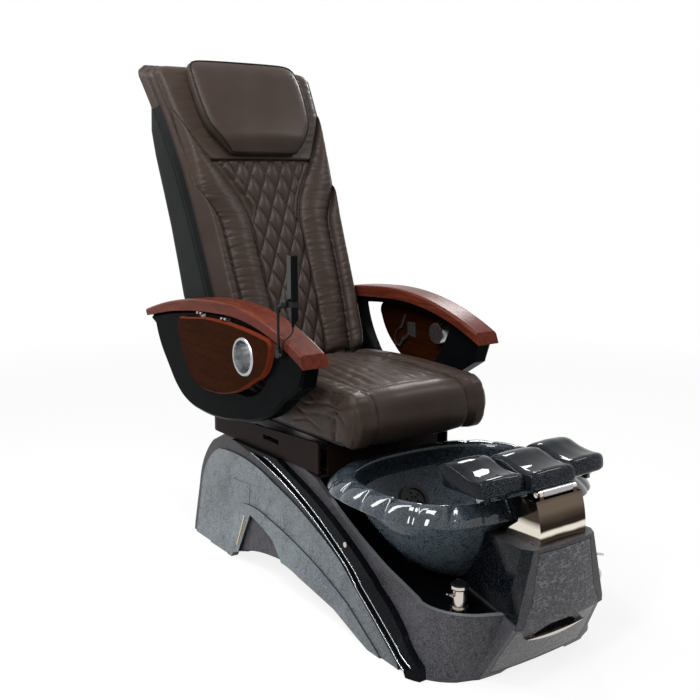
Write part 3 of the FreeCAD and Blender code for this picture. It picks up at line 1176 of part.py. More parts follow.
def make_back_frame():
    front = BACK_THICK + SEAT_CLEAR
    hy, hz = upright(HINGE_Y, HINGE_Z)
    rear = front + FRAME_DEPTH
    edge = [(front, -140)] + [(front + bend(u), u) for u in (430, 480, 560, 640, 690)]
    profile = edge + [(rear, 690), (rear, -100), (hy + 22, hz), ("via", hy, hz - 22), (hy - 22, hz)]
    parts = []
    for side in (-1, 1):
        x0 = side * FRAME_X - FRAME_PLATE / 2
        plate = side_prism(profile, x0, x0 + FRAME_PLATE)
        holes = [rod(vec(x0 - 1, front + 44, u), vec(x0 + FRAME_PLATE + 1, front + 44, u), 22)
                 for u in (60, 180, 300, 420, 540)]
        parts.append(cut(plate, *holes))
    for u in (-125, 660):
        parts.append(rod(vec(-FRAME_X, rear - 12, u), vec(FRAME_X, rear - 12, u), 9))
    for u in (-104, 620):
        parts.append(box(-FRAME_X, FRAME_X, RAIL_DEPTH - 14, RAIL_DEPTH + 14, u, u + 12))
    for x in (-RAIL_SPACING, RAIL_SPACING):
        parts.append(rod(vec(x, RAIL_DEPTH, -100), vec(x, RAIL_DEPTH, 628), RAIL_RADIUS))
    pivot = vec(0, HINGE_Y, HINGE_Z)
    reach = vec(FRAME_X, 0, 0)
    standing = [rod(pivot - reach, pivot + reach, HINGE_PIN + 4)]
    pin = lever_pin()
    for x in (-22, 14):
        hub = rod(pivot + vec(x, 0, 0), pivot + vec(x + 8, 0, 0), 20)
        end = rod(pin + vec(x, 0, 0), pin + vec(x + 8, 0, 0), 12)
        arm = side_prism([(HINGE_Y - 16, HINGE_Z), (pin.y - 11, pin.z), (pin.y + 11, pin.z),
                          (HINGE_Y + 17, HINGE_Z)], x, x + 8)
        standing += [hub, end, arm]
    standing.append(rod(pin - vec(18, 0, 0), pin + vec(18, 0, 0), LEVER_PIN))
    whole = fuse([leaned(fuse(parts))] + standing)
    bore = rod(pivot - vec(300, 0, 0), pivot + vec(300, 0, 0), HINGE_PIN + RUN)
    keep("back_frame", cut(whole, bore))


def lever_pin():
    """The pin that the recline rod pushes, when the backrest is most upright."""
    angle = math.radians(LEVER_BEHIND)
    return vec(0, HINGE_Y + LEVER_LENGTH * math.sin(angle), HINGE_Z - LEVER_LENGTH * math.cos(angle))


def make_recline_drive():
    """An electric rod actuator under the seat: its body hangs from the seat frame."""
    pin = lever_pin()
    z = (pin.z + HINGE_Z - LEVER_LENGTH) / 2
    body_end = pin.y - 140
    tube = rod(vec(0, 262, z), vec(0, body_end, z), ACTUATOR_RADIUS)
    motor = box(-24, 24, 236, 300, z - 20, z + 20)
    hanger = box(-10, 10, 244, 268, z + 10, FRAME_TOP_Z - SEAT_CLEAR)
    bore = rod(vec(0, 330, z), vec(0, body_end + 1, z), DRIVE_ROD + RUN)
    keep("recline_actuator", cut(fuse([tube, motor, hanger]), bore))
    shaft = rod(vec(0, 390, z), vec(0, pin.y - 12, z), DRIVE_ROD)
    eye = box(-13.5, 13.5, pin.y - 13, pin.y + 13, z - 14, z + 14)
    half_y = LEVER_PIN + 0.5
    slot = box(-20, 20, pin.y - half_y, pin.y + half_y, z - LEVER_PIN - 2.4, z + LEVER_PIN + 2.4)
    keep("recline_rod", cut(fuse([shaft, eye]), slot))


def make_massage_unit():
    u = CARRIAGE_U
    half = RAIL_SPACING + 18
    body = box(-half, half, RAIL_DEPTH - 15, RAIL_DEPTH + 18, u - 60, u + 60)
    motor = rod(vec(-30, RAIL_DEPTH + 30, u), vec(34, RAIL_DEPTH + 30, u), 21)
    bores = [rod(vec(x, RAIL_DEPTH, u - 80), vec(x, RAIL_DEPTH, u + 80), RAIL_RADIUS + RUN)
             for x in (-RAIL_SPACING, RAIL_SPACING)]
    axle_y = RAIL_DEPTH - 20
    rooms = []
    lugs = []
    for z in (u - 44, u + 44):
        for x in (-ROLLER_X, ROLLER_X):
            rooms.append(box(x - 18.5, x + 18.5, RAIL_DEPTH - 17, RAIL_DEPTH + 6, z - 26, z + 26))
        for x in (-88, -14, 6, 80):
            lugs.append(box(x, x + 8, axle_y - 7, RAIL_DEPTH - 12, z - 7, z + 7))
        lugs.append(rod(vec(-88, axle_y, z), vec(88, axle_y, z), 4))
    carriage = fuse([cut(fuse([body, motor]), *rooms)] + lugs)
    keep("massage_carriage", leaned(cut(carriage, *bores)))
    for name, z in (("massage_rollers_low", u - 44), ("massage_rollers_high", u + 44)):
        wheels = []
        for x in (-ROLLER_X, ROLLER_X):
            wheel = rod(vec(x - 17, axle_y, z), vec(x + 17, axle_y, z), ROLLER_RADIUS)
            rims = [e for e in wheel.Edges if e.Length > 100 and len(e.Vertexes) == 1]
            wheel = wheel.makeChamfer(6.0, rims)
            wheels.append(cut(wheel, rod(vec(-90, axle_y, z), vec(90, axle_y, z), 4 + RUN)))
        keep(name, *[leaned(wheel) for wheel in wheels])


front_skin, panel, tower = make_base()
make_panel(front_skin, panel)
make_sides()
make_bowl()
make_bowl_fittings()
make_deck_fittings()
make_mixer()
make_pump()
make_footrest()
make_shroud()
make_slide()
make_seat_frame()
make_seat_cushion()
make_arms()
make_remote()
keep("remote_cord", tube_along(CORD_POINTS, CORD_DIAMETER))
make_back_cushion()
make_pillow()
make_back_shell()
make_back_frame()
make_recline_drive()
make_massage_unit()

whole = Part.makeCompound([shape for name, shape in PIECES.items() if name != "remote_cord"])
limits = whole.BoundBox
MIDDLE_Y = (limits.YMin + limits.YMax) / 2
FLOOR_Z = limits.ZMin

os.makedirs("parts", exist_ok=True)
for name, shape in PIECES.items():
    moved = shape.copy()
    moved.translate(vec(0, -MIDDLE_Y, -FLOOR_Z))
    moved.exportStep("parts/" + name + ".step")
sizes = [round(length, 1) for length in (limits.XLength, limits.YLength, limits.ZLength)]
print(len(PIECES), "pieces; box", sizes, "middle y", round(MIDDLE_Y, 3), "floor z", round(FLOOR_Z, 3))
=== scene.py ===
import bmesh
import bpy
import json
import math
from mathutils import Matrix, Vector, noise


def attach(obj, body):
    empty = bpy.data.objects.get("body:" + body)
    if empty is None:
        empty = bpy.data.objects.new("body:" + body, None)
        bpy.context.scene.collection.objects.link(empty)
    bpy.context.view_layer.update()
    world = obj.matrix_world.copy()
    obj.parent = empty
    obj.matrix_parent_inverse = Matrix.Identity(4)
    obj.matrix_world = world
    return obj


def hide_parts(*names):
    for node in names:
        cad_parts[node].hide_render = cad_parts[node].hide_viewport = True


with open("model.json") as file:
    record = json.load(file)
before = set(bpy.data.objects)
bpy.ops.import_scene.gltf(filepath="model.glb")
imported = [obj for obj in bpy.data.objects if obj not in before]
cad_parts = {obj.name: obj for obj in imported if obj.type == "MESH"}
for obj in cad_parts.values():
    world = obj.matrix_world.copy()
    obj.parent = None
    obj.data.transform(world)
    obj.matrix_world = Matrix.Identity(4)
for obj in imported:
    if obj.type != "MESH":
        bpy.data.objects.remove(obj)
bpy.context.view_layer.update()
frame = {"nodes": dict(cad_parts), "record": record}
nodes = frame["nodes"]

# Places that part.py also has, in metres. Its y = 0 lies MIDDLE in front of the origin.
MIDDLE = 0.206214
LEAN = math.radians(22.0)
BACK_Y = 0.570 - MIDDLE
BACK_Z = 0.776


def from_mm(x, y, z):
    """From part.py's millimetres to the shared frame in metres."""
    return Vector((x / 1000, y / 1000 - MIDDLE, z / 1000))


def put_in_scene(name, data):
    thing = bpy.data.objects.new(name, data)
    bpy.context.scene.collection.objects.link(thing)
    return thing


# Camera

def make_camera():
    """The photograph's camera, fitted to the base and the seat."""
    data = bpy.data.cameras.new("camera")
    data.sensor_width = 36.0
    data.lens = 50.8
    data.clip_end = 60.0
    camera = put_in_scene("camera", data)
    turn = math.radians(36.03)
    down = math.radians(10.33)
    level = math.cos(down)
    look = Vector((math.sin(turn) * level, math.cos(turn) * level, -math.sin(down)))
    camera.location = from_mm(-1672, -2042, 1171)
    camera.rotation_euler = look.to_track_quat("-Z", "Y").to_euler()
    bpy.context.scene.camera = camera


make_camera()


# Shared effects

class Wiring:
    """Adds nodes to a tree and joins them up."""

    def __init__(self, tree):
        self.nodes = tree.nodes
        self.links = tree.links

    def add(self, kind, **values):
        node = self.nodes.new(kind)
        for key, value in values.items():
            setattr(node, key, value)
        return node

    def join(self, source, target):
        self.links.new(source, target)

    def feed(self, node, name, value):
        socket = node.inputs[name]
        if hasattr(value, "is_linked"):
            self.links.new(value, socket)
        else:
            socket.default_value = value

    def math(self, operation, a, b=None):
        node = self.add("ShaderNodeMath", operation=operation)
        for i, value in enumerate((a, b)):
            if value is not None:
                self.feed(node, i, value)
        return node.outputs[0]

    def times(self, a, b):
        return self.math("MULTIPLY", a, b)

    def plus(self, a, b):
        return self.math("ADD", a, b)

    def noise(self, vector, scale, detail=2.0, rough=0.5, distortion=0.0):
        node = self.add("ShaderNodeTexNoise")
        for name, value in (("Vector", vector), ("Scale", scale), ("Detail", detail),
                            ("Roughness", rough), ("Distortion", distortion)):
            self.feed(node, name, value)
        return node.outputs["Fac"]

    def cells(self, vector, scale, output="Distance"):
        node = self.add("ShaderNodeTexVoronoi")
        self.feed(node, "Vector", vector)
        self.feed(node, "Scale", scale)
        return node.outputs[output]

    def ramp(self, value, low, high, out_low=0.0, out_high=1.0):
        node = self.add("ShaderNodeMapRange", clamp=True)
        for name, v in (("Value", value), ("From Min", low), ("From Max", high),
                        ("To Min", out_low), ("To Max", out_high)):
            self.feed(node, name, v)
        return node.outputs["Result"]

    def mix(self, factor, first, second):
        node = self.add("ShaderNodeMix", data_type="RGBA")
        self.feed(node, 0, factor)
        self.feed(node, 6, first)
        self.feed(node, 7, second)
        return node.outputs[2]

    def stretched(self, vector, x, y, z):
        node = self.add("ShaderNodeMapping")
        self.feed(node, "Vector", vector)
        node.inputs["Scale"].default_value = (x, y, z)
        return node.outputs["Vector"]


def new_group(name, numbers, results):
    """An empty effect: its tree, its wiring, what comes in and where its results go."""
    tree = bpy.data.node_groups.new(name, "ShaderNodeTree")
    tree.interface.new_socket("Vector", in_out="INPUT", socket_type="NodeSocketVector")
    for label, value in numbers.items():
        socket = tree.interface.new_socket(label, in_out="INPUT", socket_type="NodeSocketFloat")
        socket.default_value = value
    for label in results:
        tree.interface.new_socket(label, in_out="OUTPUT", socket_type="NodeSocketFloat")
    w = Wiring(tree)
    return tree, w, w.add("NodeGroupInput").outputs, w.add("NodeGroupOutput").inputs


def hide_grain_group():
    """Fine leather grain: small pebbles with creases between them."""
    tree, w, start, end = new_group("hide_grain", {"Pebble Scale": 420.0}, ("Height", "Shade"))
    vector = start["Vector"]
    scale = start["Pebble Scale"]
    pebbles = w.cells(vector, scale)
    fine = w.noise(vector, w.times(scale, 2.2), 3.0, 0.6)
    folds = w.noise(vector, w.times(scale, 0.06), 4.0, 0.55, 0.6)
    height = w.plus(w.times(pebbles, -0.6), w.times(fine, 0.5))
    w.join(w.plus(height, w.times(folds, 1.2)), end["Height"])
    w.join(w.noise(vector, w.times(scale, 0.016), 3.0, 0.6), end["Shade"])
    return tree


FULL_TURN = 6.2832


def swirl_group():
    """Thin curling lines, such as run through a marbled gloss finish."""
    tree, w, start, end = new_group(
        "swirl_lines", {"Swirl Scale": 30.0, "Rings": 9.0, "Width": 0.3}, ("Lines",))
    vector = start["Vector"]
    scale = start["Swirl Scale"]
    cloud = w.noise(vector, scale, 2.5, 0.45, 0.9)
    turns = w.times(cloud, start["Rings"])
    wave = w.math("SINE", w.times(turns, FULL_TURN))
    lines = w.ramp(w.math("ABSOLUTE", wave), 0.0, start["Width"], 1.0, 0.0)
    broken = w.ramp(w.noise(vector, w.times(scale, 0.5), 2.0), 0.34, 0.46)
    w.join(w.times(lines, broken), end["Lines"])
    return tree


def fleck_group():
    """Sparse bright specks of a metal-flake or sprayed finish."""
    tree, w, start, end = new_group("flecks", {"Fleck Scale": 300.0, "Share": 0.2}, ("Flecks",))
    cells = w.cells(start["Vector"], start["Fleck Scale"], "Color")
    split = w.add("ShaderNodeSeparateColor")
    w.join(cells, split.inputs[0])
    limit = w.math("SUBTRACT", 1.0, start["Share"])
    w.join(w.ramp(split.outputs[0], limit, w.plus(limit, 0.03)), end["Flecks"])
    return tree


def wiped_group():
    """Soft uneven patches, for the way a wiped surface varies in gloss."""
    tree, w, start, end = new_group("wiped_patches", {"Patch Scale": 7.0}, ("Patches",))
    vector = start["Vector"]
    scale = start["Patch Scale"]
    broad = w.noise(vector, scale, 4.0, 0.6, 0.3)
    fine = w.noise(vector, w.times(scale, 9.0), 3.0, 0.6)
    total = w.plus(w.times(broad, 0.7), w.times(fine, 0.3))
    w.join(w.ramp(total, 0.3, 0.7), end["Patches"])
    return tree


HIDE = hide_grain_group()
SWIRL = swirl_group()
FLECK = fleck_group()
WIPED = wiped_group()


# Materials

def colour(r, g, b):
    """A colour given as it looks on a screen, 0 to 255."""
    out = []
    for value in (r, g, b):
        v = value / 255
        out.append(v / 12.92 if v <= 0.04045 else ((v + 0.055) / 1.055) ** 2.4)
    return out + [1.0]


def toned(base, share):
    return [min(1.0, share * v) for v in base[:3]] + [1.0]


class Finish(Wiring):
    """A material with one Principled shader and the object's own coordinates."""

    def __init__(self, name, base, rough, metal=0.0, level=0.5, coat_rough=0.05):
        self.material = bpy.data.materials.new(name)
        self.material.use_nodes = True
        super().__init__(self.material.node_tree)
        self.shader = self.nodes["Principled BSDF"]
        for socket, value in (("Base Color", base), ("Roughness", rough), ("Metallic", metal),
                              ("Specular IOR Level", level), ("Coat Roughness", coat_rough)):
            self.shader.inputs[socket].default_value = value
        self.place = self.add("ShaderNodeTexCoord").outputs["Object"]

    def effect(self, group, **values):
        node = self.add("ShaderNodeGroup", node_tree=group)
        self.join(self.place, node.inputs["Vector"])
        for name, value in values.items():
            node.inputs[name.replace("_", " ")].default_value = value
        return node.outputs

    def paint(self, value):
        self.join(value, self.shader.inputs["Base Color"])

    def gloss(self, value):
        self.join(value, self.shader.inputs["Roughness"])

    def patches(self, scale):
        return self.effect(WIPED, Patch_Scale=scale)["Patches"]

    def flecks(self, scale, share):
        return self.effect(FLECK, Fleck_Scale=scale, Share=share)["Flecks"]

    def wiped_gloss(self, patches, low, high):
        self.gloss(self.ramp(patches, 0.0, 1.0, low, high))

    def attribute(self, name):
        return self.add("ShaderNodeAttribute", attribute_name=name).outputs["Fac"]

    def along(self, axis, source=None):
        """One of the object's own coordinates, or of the source's."""
        split = self.add("ShaderNodeSeparateXYZ")
        self.join(source or self.place, split.inputs[0])
        return split.outputs[axis]

    def facing(self, axis):
        """How far the surface faces along one of the object's axes, without the sign."""
        normal = self.add("ShaderNodeTexCoord").outputs["Normal"]
        return self.math("ABSOLUTE", self.along(axis, normal))

    def relief(self, height, distance, strength):
        bump = self.add("ShaderNodeBump")
        bump.inputs["Strength"].default_value = strength
        bump.inputs["Distance"].default_value = distance
        self.join(height, bump.inputs["Height"])
        self.join(bump.outputs["Normal"], self.shader.inputs["Normal"])


def leather(name, tint=1.0):
    f = Finish(name, colour(52, 43, 38), 0.36, level=0.1)
    grain = f.effect(HIDE, Pebble_Scale=420.0)
    worn = f.patches(6.0)
    seam = f.attribute("seam")
    dark, light = (colour(*(tint * v for v in tone)) for tone in ((43, 34, 30), (61, 51, 45)))
    tone = f.mix(grain["Shade"], dark, light)
    # Painted near-black along the seam lines, partly as painted shade in their grooves; on the seat the
    # seam value also carries painted shade in the folds.
    f.paint(f.mix(f.times(seam, 0.92), tone, colour(14, 10, 9)))
    f.wiped_gloss(worn, 0.3, 0.4)
    f.relief(grain["Height"], 0.0006, 0.35)
    return f.material


def moulded_slate(f, dark, light, vein, rough, share, swirl_scale=17.0):
    """A slate-like moulding, mottled and with dark veins: its colour, gloss and height."""
    lines = f.effect(SWIRL, Swirl_Scale=swirl_scale, Rings=5.0, Width=0.42)["Lines"]
    flecks = f.flecks(460.0, 0.3)
    patches = f.patches(9.0)
    tone = f.mix(patches, dark, light)
    tone = f.mix(f.times(lines, share), tone, vein)
    tone = f.mix(f.times(flecks, 0.09), tone, colour(150, 158, 162))
    speck = f.noise(f.place, 330.0, 2.0, 0.7)
    tone = f.mix(f.ramp(speck, 0.34, 0.5, 0.55, 0.0), tone, vein)
    tone = f.mix(f.ramp(speck, 0.52, 0.68, 0.0, 0.4), tone, toned(light, 1.7))
    gloss = f.ramp(patches, 0.0, 1.0, rough - 0.06, rough + 0.1)
    crumple = f.noise(f.place, 46.0, 5.0, 0.62, 1.6)
    height = f.math("SUBTRACT", f.times(crumple, 1.3), f.times(lines, 0.4))
    return tone, gloss, height


def flank_moulding(name):
    """The side covers: pale slate, lighter at the rear as a painted sheen, with painted shade darkening
    them towards the toe.
    """
    f = Finish(name, colour(84, 92, 96), 0.3, level=0.5)
    tone, gloss, height = moulded_slate(
        f, colour(62, 70, 74), colour(124, 133, 138), colour(30, 36, 41), 0.28, 0.75)
    # Painted shade: the covers are painted darker towards the toe, at the front of the base.
    toe = f.ramp(f.along(1), -0.62, 0.1, 0.62, 0.0)
    tone = f.mix(toe, tone, colour(44, 45, 48))
    f.paint(f.mix(f.ramp(f.facing(0), 0.6, 0.9, 0.9, 0.0), tone, colour(14, 16, 18)))
    f.gloss(gloss)
    f.relief(height, 0.0014, 0.8)
    return f.material


def base_moulding(name):
    """The base itself: dark satin slate outside, black gloss with curls on the sides of the console, and
    a painted highlight along its upward-facing edges.
    """
    f = Finish(name, colour(58, 58, 62), 0.3, level=0.14)
    tone, gloss, height = moulded_slate(
        f, colour(49, 48, 52), colour(78, 76, 80), colour(20, 20, 24), 0.3, 0.7, 24.0)
    console = f.times(f.ramp(f.facing(0), 0.72, 0.8), f.ramp(f.along(2), 0.155, 0.16))
    inside = f.ramp(f.math("ABSOLUTE", f.along(0)), 0.208, 0.212, 1.0, 0.0)
    console = f.times(console, inside)
    flecks = f.flecks(650.0, 0.12)
    glossy = f.mix(f.times(flecks, 0.5), colour(11, 13, 16), colour(60, 72, 84))
    height_of = f.along(2)
    # Painted highlight: surfaces facing upwards between 0.13 m and 0.31 m high are painted pale.
    painted_edge_highlight = f.times(f.ramp(height_of, 0.13, 0.14), f.ramp(height_of, 0.3, 0.31, 1.0, 0.0))
    painted_edge_highlight = f.times(painted_edge_highlight, f.ramp(f.facing(2), 0.35, 0.7, 0.0, 0.6))
    tone = f.mix(painted_edge_highlight, tone, colour(128, 134, 138))
    f.paint(f.mix(console, tone, glossy))
    f.gloss(f.plus(f.times(gloss, f.math("SUBTRACT", 1.0, console)), f.times(console, 0.1)))
    f.relief(f.times(height, f.ramp(console, 0.0, 1.0, 1.0, 0.12)), 0.001, 0.7)
    return f.material


def panel_moulding(name):
    """The service panel: crumpled like beaten slate above the handle and calmer around it, with painted
    shade in the crumple's creases and painted highlights on its ridges.
    """
    f = Finish(name, colour(60, 58, 62), 0.26, level=0.34)
    tone, gloss, height = moulded_slate(
        f, colour(50, 48, 53), colour(78, 76, 82), colour(20, 20, 24), 0.24, 0.5, 24.0)
    calm = f.ramp(f.along(2), 0.12, 0.185, 0.18, 1.0)
    waves = f.noise(f.stretched(f.place, 1.0, 1.0, 1.7), 42.0, 3.0, 0.5, 1.8)
    # Painted shade along the creases of the crumple.
    painted_crease_shade = f.ramp(f.math("ABSOLUTE", f.math("SUBTRACT", waves, 0.5)), 0.006, 0.028, 0.9, 0.0)
    tone = f.mix(f.times(painted_crease_shade, calm), tone, colour(26, 26, 30))
    # Painted highlight on the ridges of the crumple.
    lit = f.times(f.ramp(waves, 0.53, 0.58, 0.0, 0.7), calm)
    tone = f.mix(lit, tone, colour(112, 112, 120))
    f.paint(f.mix(f.ramp(calm, 0.18, 1.0, 0.35, 0.0), tone, colour(74, 68, 66)))
    f.gloss(gloss)
    f.relief(f.times(f.plus(height, f.times(waves, 3.4)), calm), 0.004, 1.0)
    return f.material


def bowl_gloss(name):
    """Blue-black gloss with curling lines and specks under it, painted paler on the bowl's outside as
    painted light.
    """
    f = Finish(name, colour(20, 25, 31), 0.07, level=0.13, coat_rough=0.04)
    f.join(f.attribute("rim"), f.shader.inputs["Coat Weight"])
    lines = f.effect(SWIRL, Swirl_Scale=32.0, Rings=4.0, Width=0.58)["Lines"]
    flecks = f.flecks(620.0, 0.2)
    patches = f.patches(8.0)
    outside = f.attribute("outside")
    tone = f.mix(patches, colour(24, 30, 35), colour(56, 65, 72))
    # Painted light: the bowl's outside is painted paler than its inside.
    tone = f.mix(outside, tone, f.mix(patches, colour(44, 52, 57), colour(80, 89, 95)))
    tone = f.mix(lines, tone, colour(3, 4, 5))
    f.paint(f.mix(f.times(flecks, 0.4), tone, colour(90, 104, 118)))
    f.wiped_gloss(patches, 0.05, 0.1)
    f.relief(f.plus(f.noise(f.place, 22.0, 2.0), f.times(lines, 0.06)), 0.0009, 0.22)
    return f.material


def pad_gloss(name):
    """The pads: black polish with sparkle under it, which shows most on their front faces."""
    f = Finish(name, colour(14, 16, 20), 0.04, level=0.1)
    flecks = f.flecks(700.0, 0.22)
    patches = f.patches(12.0)
    tone = f.mix(patches, colour(8, 9, 12), colour(24, 28, 34))
    front = f.ramp(f.facing(1), 0.3, 0.8, 0.06, 0.32)
    f.paint(f.mix(f.times(flecks, front), tone, colour(112, 124, 136)))
    f.wiped_gloss(patches, 0.03, 0.07)
    f.relief(f.noise(f.place, 16.0, 2.0), 0.0008, 0.15)
    return f.material


def black_gloss(name, base, fleck, share, rough=0.06, level=0.25):
    f = Finish(name, base, rough, level=level)
    flecks = f.flecks(650.0, share)
    patches = f.patches(5.0)
    f.paint(f.mix(f.times(flecks, 0.5), base, fleck))
    f.wiped_gloss(patches, rough, rough + 0.06)
    f.relief(f.noise(f.place, 14.0, 2.0), 0.0008, 0.2)
    return f.material


def metal(name, base, rough, brush=0.0, stretch=(1.0, 1.0, 1.0)):
    f = Finish(name, base, rough, metal=1.0)
    patches = f.patches(11.0)
    f.wiped_gloss(patches, rough, rough + 0.05 + brush * 0.1)
    streaks = f.noise(f.stretched(f.place, *stretch), 240.0, 3.0)
    f.paint(f.mix(f.times(streaks, 0.25 + brush * 0.3), base, toned(base, 0.75)))
    f.relief(streaks, 0.0003, 0.02 + brush * 0.25)
    return f.material


# Painted reflection on the bracket: its colour at the foot, then where each painted reflection band over
# it begins and is full, in metres
PAINTED_REFLECTION_FOOT = [0.5, 0.4, 0.27, 1.0]
PAINTED_REFLECTION_BANDS = ((0.336, 0.342, [0.03, 0.02, 0.012, 1.0]), (0.352, 0.358, [0.82, 0.75, 0.66, 1.0]),
                (0.366, 0.371, [0.02, 0.014, 0.01, 1.0]), (0.382, 0.412, [0.13, 0.098, 0.074, 1.0]),
                (0.43, 0.442, [0.05, 0.038, 0.03, 1.0]), (0.446, 0.449, [0.6, 0.52, 0.45, 1.0]))


def smoked_chrome(name):
    """The bracket's warm mirror plating with painted reflections: painted dark and pale reflection bands
    across its front and a painted pale reflection low on its flanks.
    """
    f = Finish(name, [0.4, 0.35, 0.3, 1.0], 0.06, metal=1.0)
    drift = f.times(f.noise(f.stretched(f.place, 1.0, 1.0, 4.0), 9.0, 3.0, 0.5), 0.012)
    height = f.plus(f.along(2), drift)
    tone = PAINTED_REFLECTION_FOOT
    for low, high, painted_reflection_band in PAINTED_REFLECTION_BANDS:
        tone = f.mix(f.ramp(height, low, high), tone, painted_reflection_band)
    # Painted reflection on the flanks: pale low down and dark above.
    side = f.mix(f.ramp(height, 0.374, 0.392), [0.72, 0.67, 0.58, 1.0], [0.05, 0.038, 0.03, 1.0])
    f.paint(f.mix(f.ramp(f.facing(0), 0.6, 0.75), tone, side))
    f.wiped_gloss(f.patches(12.0), 0.05, 0.12)
    f.relief(f.noise(f.place, 9.0, 2.0), 0.0015, 0.3)
    return f.material


def lacquered_wood(name, dark, light, rough, level, edge=None):
    """Lacquered wood with its grain along the arm; edge is a colour painted on its bevels as a highlight.
    """
    f = Finish(name, light, rough, level=level)
    rings = f.noise(f.stretched(f.place, 26.0, 2.2, 26.0), 3.0, 5.0, 0.62, 0.8)
    pores = f.noise(f.stretched(f.place, 60.0, 4.0, 60.0), 9.0, 3.0, 0.6)
    patches = f.patches(5.0)
    tone = f.mix(f.ramp(rings, 0.3, 0.72), dark, light)
    tone = f.mix(f.ramp(pores, 0.62, 0.8, 0.0, 0.3), tone, toned(dark, 0.5))
    # Painted highlight: faces that don't face sideways take the edge colour.
    if edge:
        tone = f.mix(f.ramp(f.facing(0), 0.5, 0.97, 0.85, 0.0), tone, edge)
    f.paint(tone)
    f.wiped_gloss(patches, rough - 0.05, rough + 0.07)
    f.relief(pores, 0.0003, 0.12)
    return f.material


def plain_moulded(name, base, rough, grain=700.0, depth=0.0002, level=0.16):
    f = Finish(name, base, rough, level=level)
    fine = f.noise(f.place, grain, 2.0, 0.6)
    patches = f.patches(6.0)
    f.paint(f.mix(patches, toned(base, 0.8), toned(base, 1.25)))
    f.wiped_gloss(patches, rough - 0.04, rough + 0.08)
    f.relief(fine, depth, 0.4)
    return f.material


# Each slot or own finish, with its maker and the maker's values
FINISHES = {
    "base_moulding": (base_moulding,),
    "flank_moulding": (flank_moulding,),
    "panel_moulding": (panel_moulding,),
    "channel_gloss": (black_gloss, colour(9, 11, 14), colour(44, 50, 58), 0.08, 0.04, 0.05),
    # A bright metal for the tubes that are painted highlight lines on the channels.
    "bead_silver": (metal, [0.55, 0.58, 0.6, 1.0], 0.12),
    "gold_trim": (metal, [0.75, 0.6, 0.33, 1.0], 0.16),
    "bowl_gloss": (bowl_gloss,),
    "pad_gloss": (pad_gloss,),
    "deck_gloss": (black_gloss, colour(7, 8, 11), colour(40, 46, 54), 0.05, 0.05),
    "polished_chrome": (metal, [0.6, 0.55, 0.5, 1.0], 0.07),
    "smoked_chrome": (smoked_chrome,),
    "cup_metal": (metal, [0.5, 0.51, 0.52, 1.0], 0.22, 0.5, (2.0, 0.1, 0.1)),
    "frame_steel": (metal, [0.42, 0.42, 0.43, 1.0], 0.28, 0.6, (0.05, 1.0, 1.0)),
    "painted_frame": (plain_moulded, colour(22, 22, 23), 0.45),
    "black_plastic": (plain_moulded, colour(18, 18, 19), 0.38),
    "roller_rubber": (plain_moulded, colour(44, 44, 44), 0.7),
    "shroud_board": (plain_moulded, colour(27, 17, 15), 0.36, 300.0, 0.0002, 0.04),
    "shell_plastic": (plain_moulded, colour(12, 16, 15), 0.42, 900.0, 0.0003, 0.08),
    "seat_leather": (leather,),
    "piping_leather": (leather, 0.42),
    "cherry_cap": (lacquered_wood, colour(62, 25, 16), colour(98, 44, 30), 0.28, 0.07),
    # The dark wood's last colour is the painted highlight on its bevels.
    "dark_wood": (lacquered_wood, colour(30, 12, 3), colour(48, 21, 7), 0.26, 0.006,
                  colour(112, 46, 28)),
    "arm_black": (plain_moulded, colour(8, 10, 11), 0.26, 500.0, 0.0001, 0.012),
    "remote_gloss": (black_gloss, colour(6, 6, 7), colour(24, 24, 24), 0.02, 0.1, 0.06),
    "button_grey": (plain_moulded, colour(120, 120, 122), 0.5),
    "cord_black": (plain_moulded, colour(12, 12, 12), 0.5),
}
MATERIALS = {name: make(name, *values) for name, (make, *values) in FINISHES.items()}
# Nodes whose finish differs from that of their slot
OWN_FINISH = {"access_panel": "panel_moulding", "side_cover_left": "flank_moulding",
              "side_cover_right": "flank_moulding", "footrest_bracket": "smoked_chrome",
              "remote_stand": "black_plastic"}


def dress_nodes():
    slots = {part["node"]: part["material_slot"] for part in frame["record"]["subparts"]}
    for name, piece in nodes.items():
        finish = MATERIALS[OWN_FINISH.get(name, slots[name])]
        piece.data.materials.clear()
        piece.data.materials.append(finish)


dress_nodes()


# Making pieces

def finish_mesh(bm, name, slot_name):
    """Turn a bmesh into a smooth object at the origin, with its material and its slot."""
    bmesh.ops.remove_doubles(bm, verts=bm.verts[:], dist=0.00002)
    bmesh.ops.recalc_face_normals(bm, faces=bm.faces[:])
    mesh = bpy.data.meshes.new(name)
    for face in bm.faces:
        face.smooth = True
    bm.to_mesh(mesh)
    bm.free()
    mesh.materials.append(MATERIALS[slot_name])
    piece = put_in_scene(name, mesh)
    return piece


def new_curve(name, kind, points, radius, rings, caps=True):
    """A round line through the points: its curve and its spline."""
    curve = bpy.data.curves.new(name, "CURVE")
    curve.dimensions = "3D"
    curve.bevel_depth = radius
    curve.bevel_resolution = rings
    curve.use_fill_caps = caps
    spline = curve.splines.new(kind)
    spline.points.add(len(points) - 1)
    for point, place in zip(spline.points, points):
        point.co = (*place, 1.0)
    return curve, spline


def make_remote_cord():
    """The lead from the remote's foot down to the gland on its stand."""
    route = [(-322, 62, 776), (-322, 62, 756), (-347, 66, 744), (-348, 76, 724), (-348, 76, 708)]
    curve, spline = new_curve("remote_lead", "NURBS", [from_mm(*place) for place in route], 0.002, 4)
    curve.resolution_u = 10
    spline.order_u = 3
    spline.use_endpoint_u = True
    curve.materials.append(MATERIALS["cord_black"])
    lead = put_in_scene("remote_lead", curve)
    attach(lead, "seat")
    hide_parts("remote_cord")


make_remote_cord()


# Soft pieces

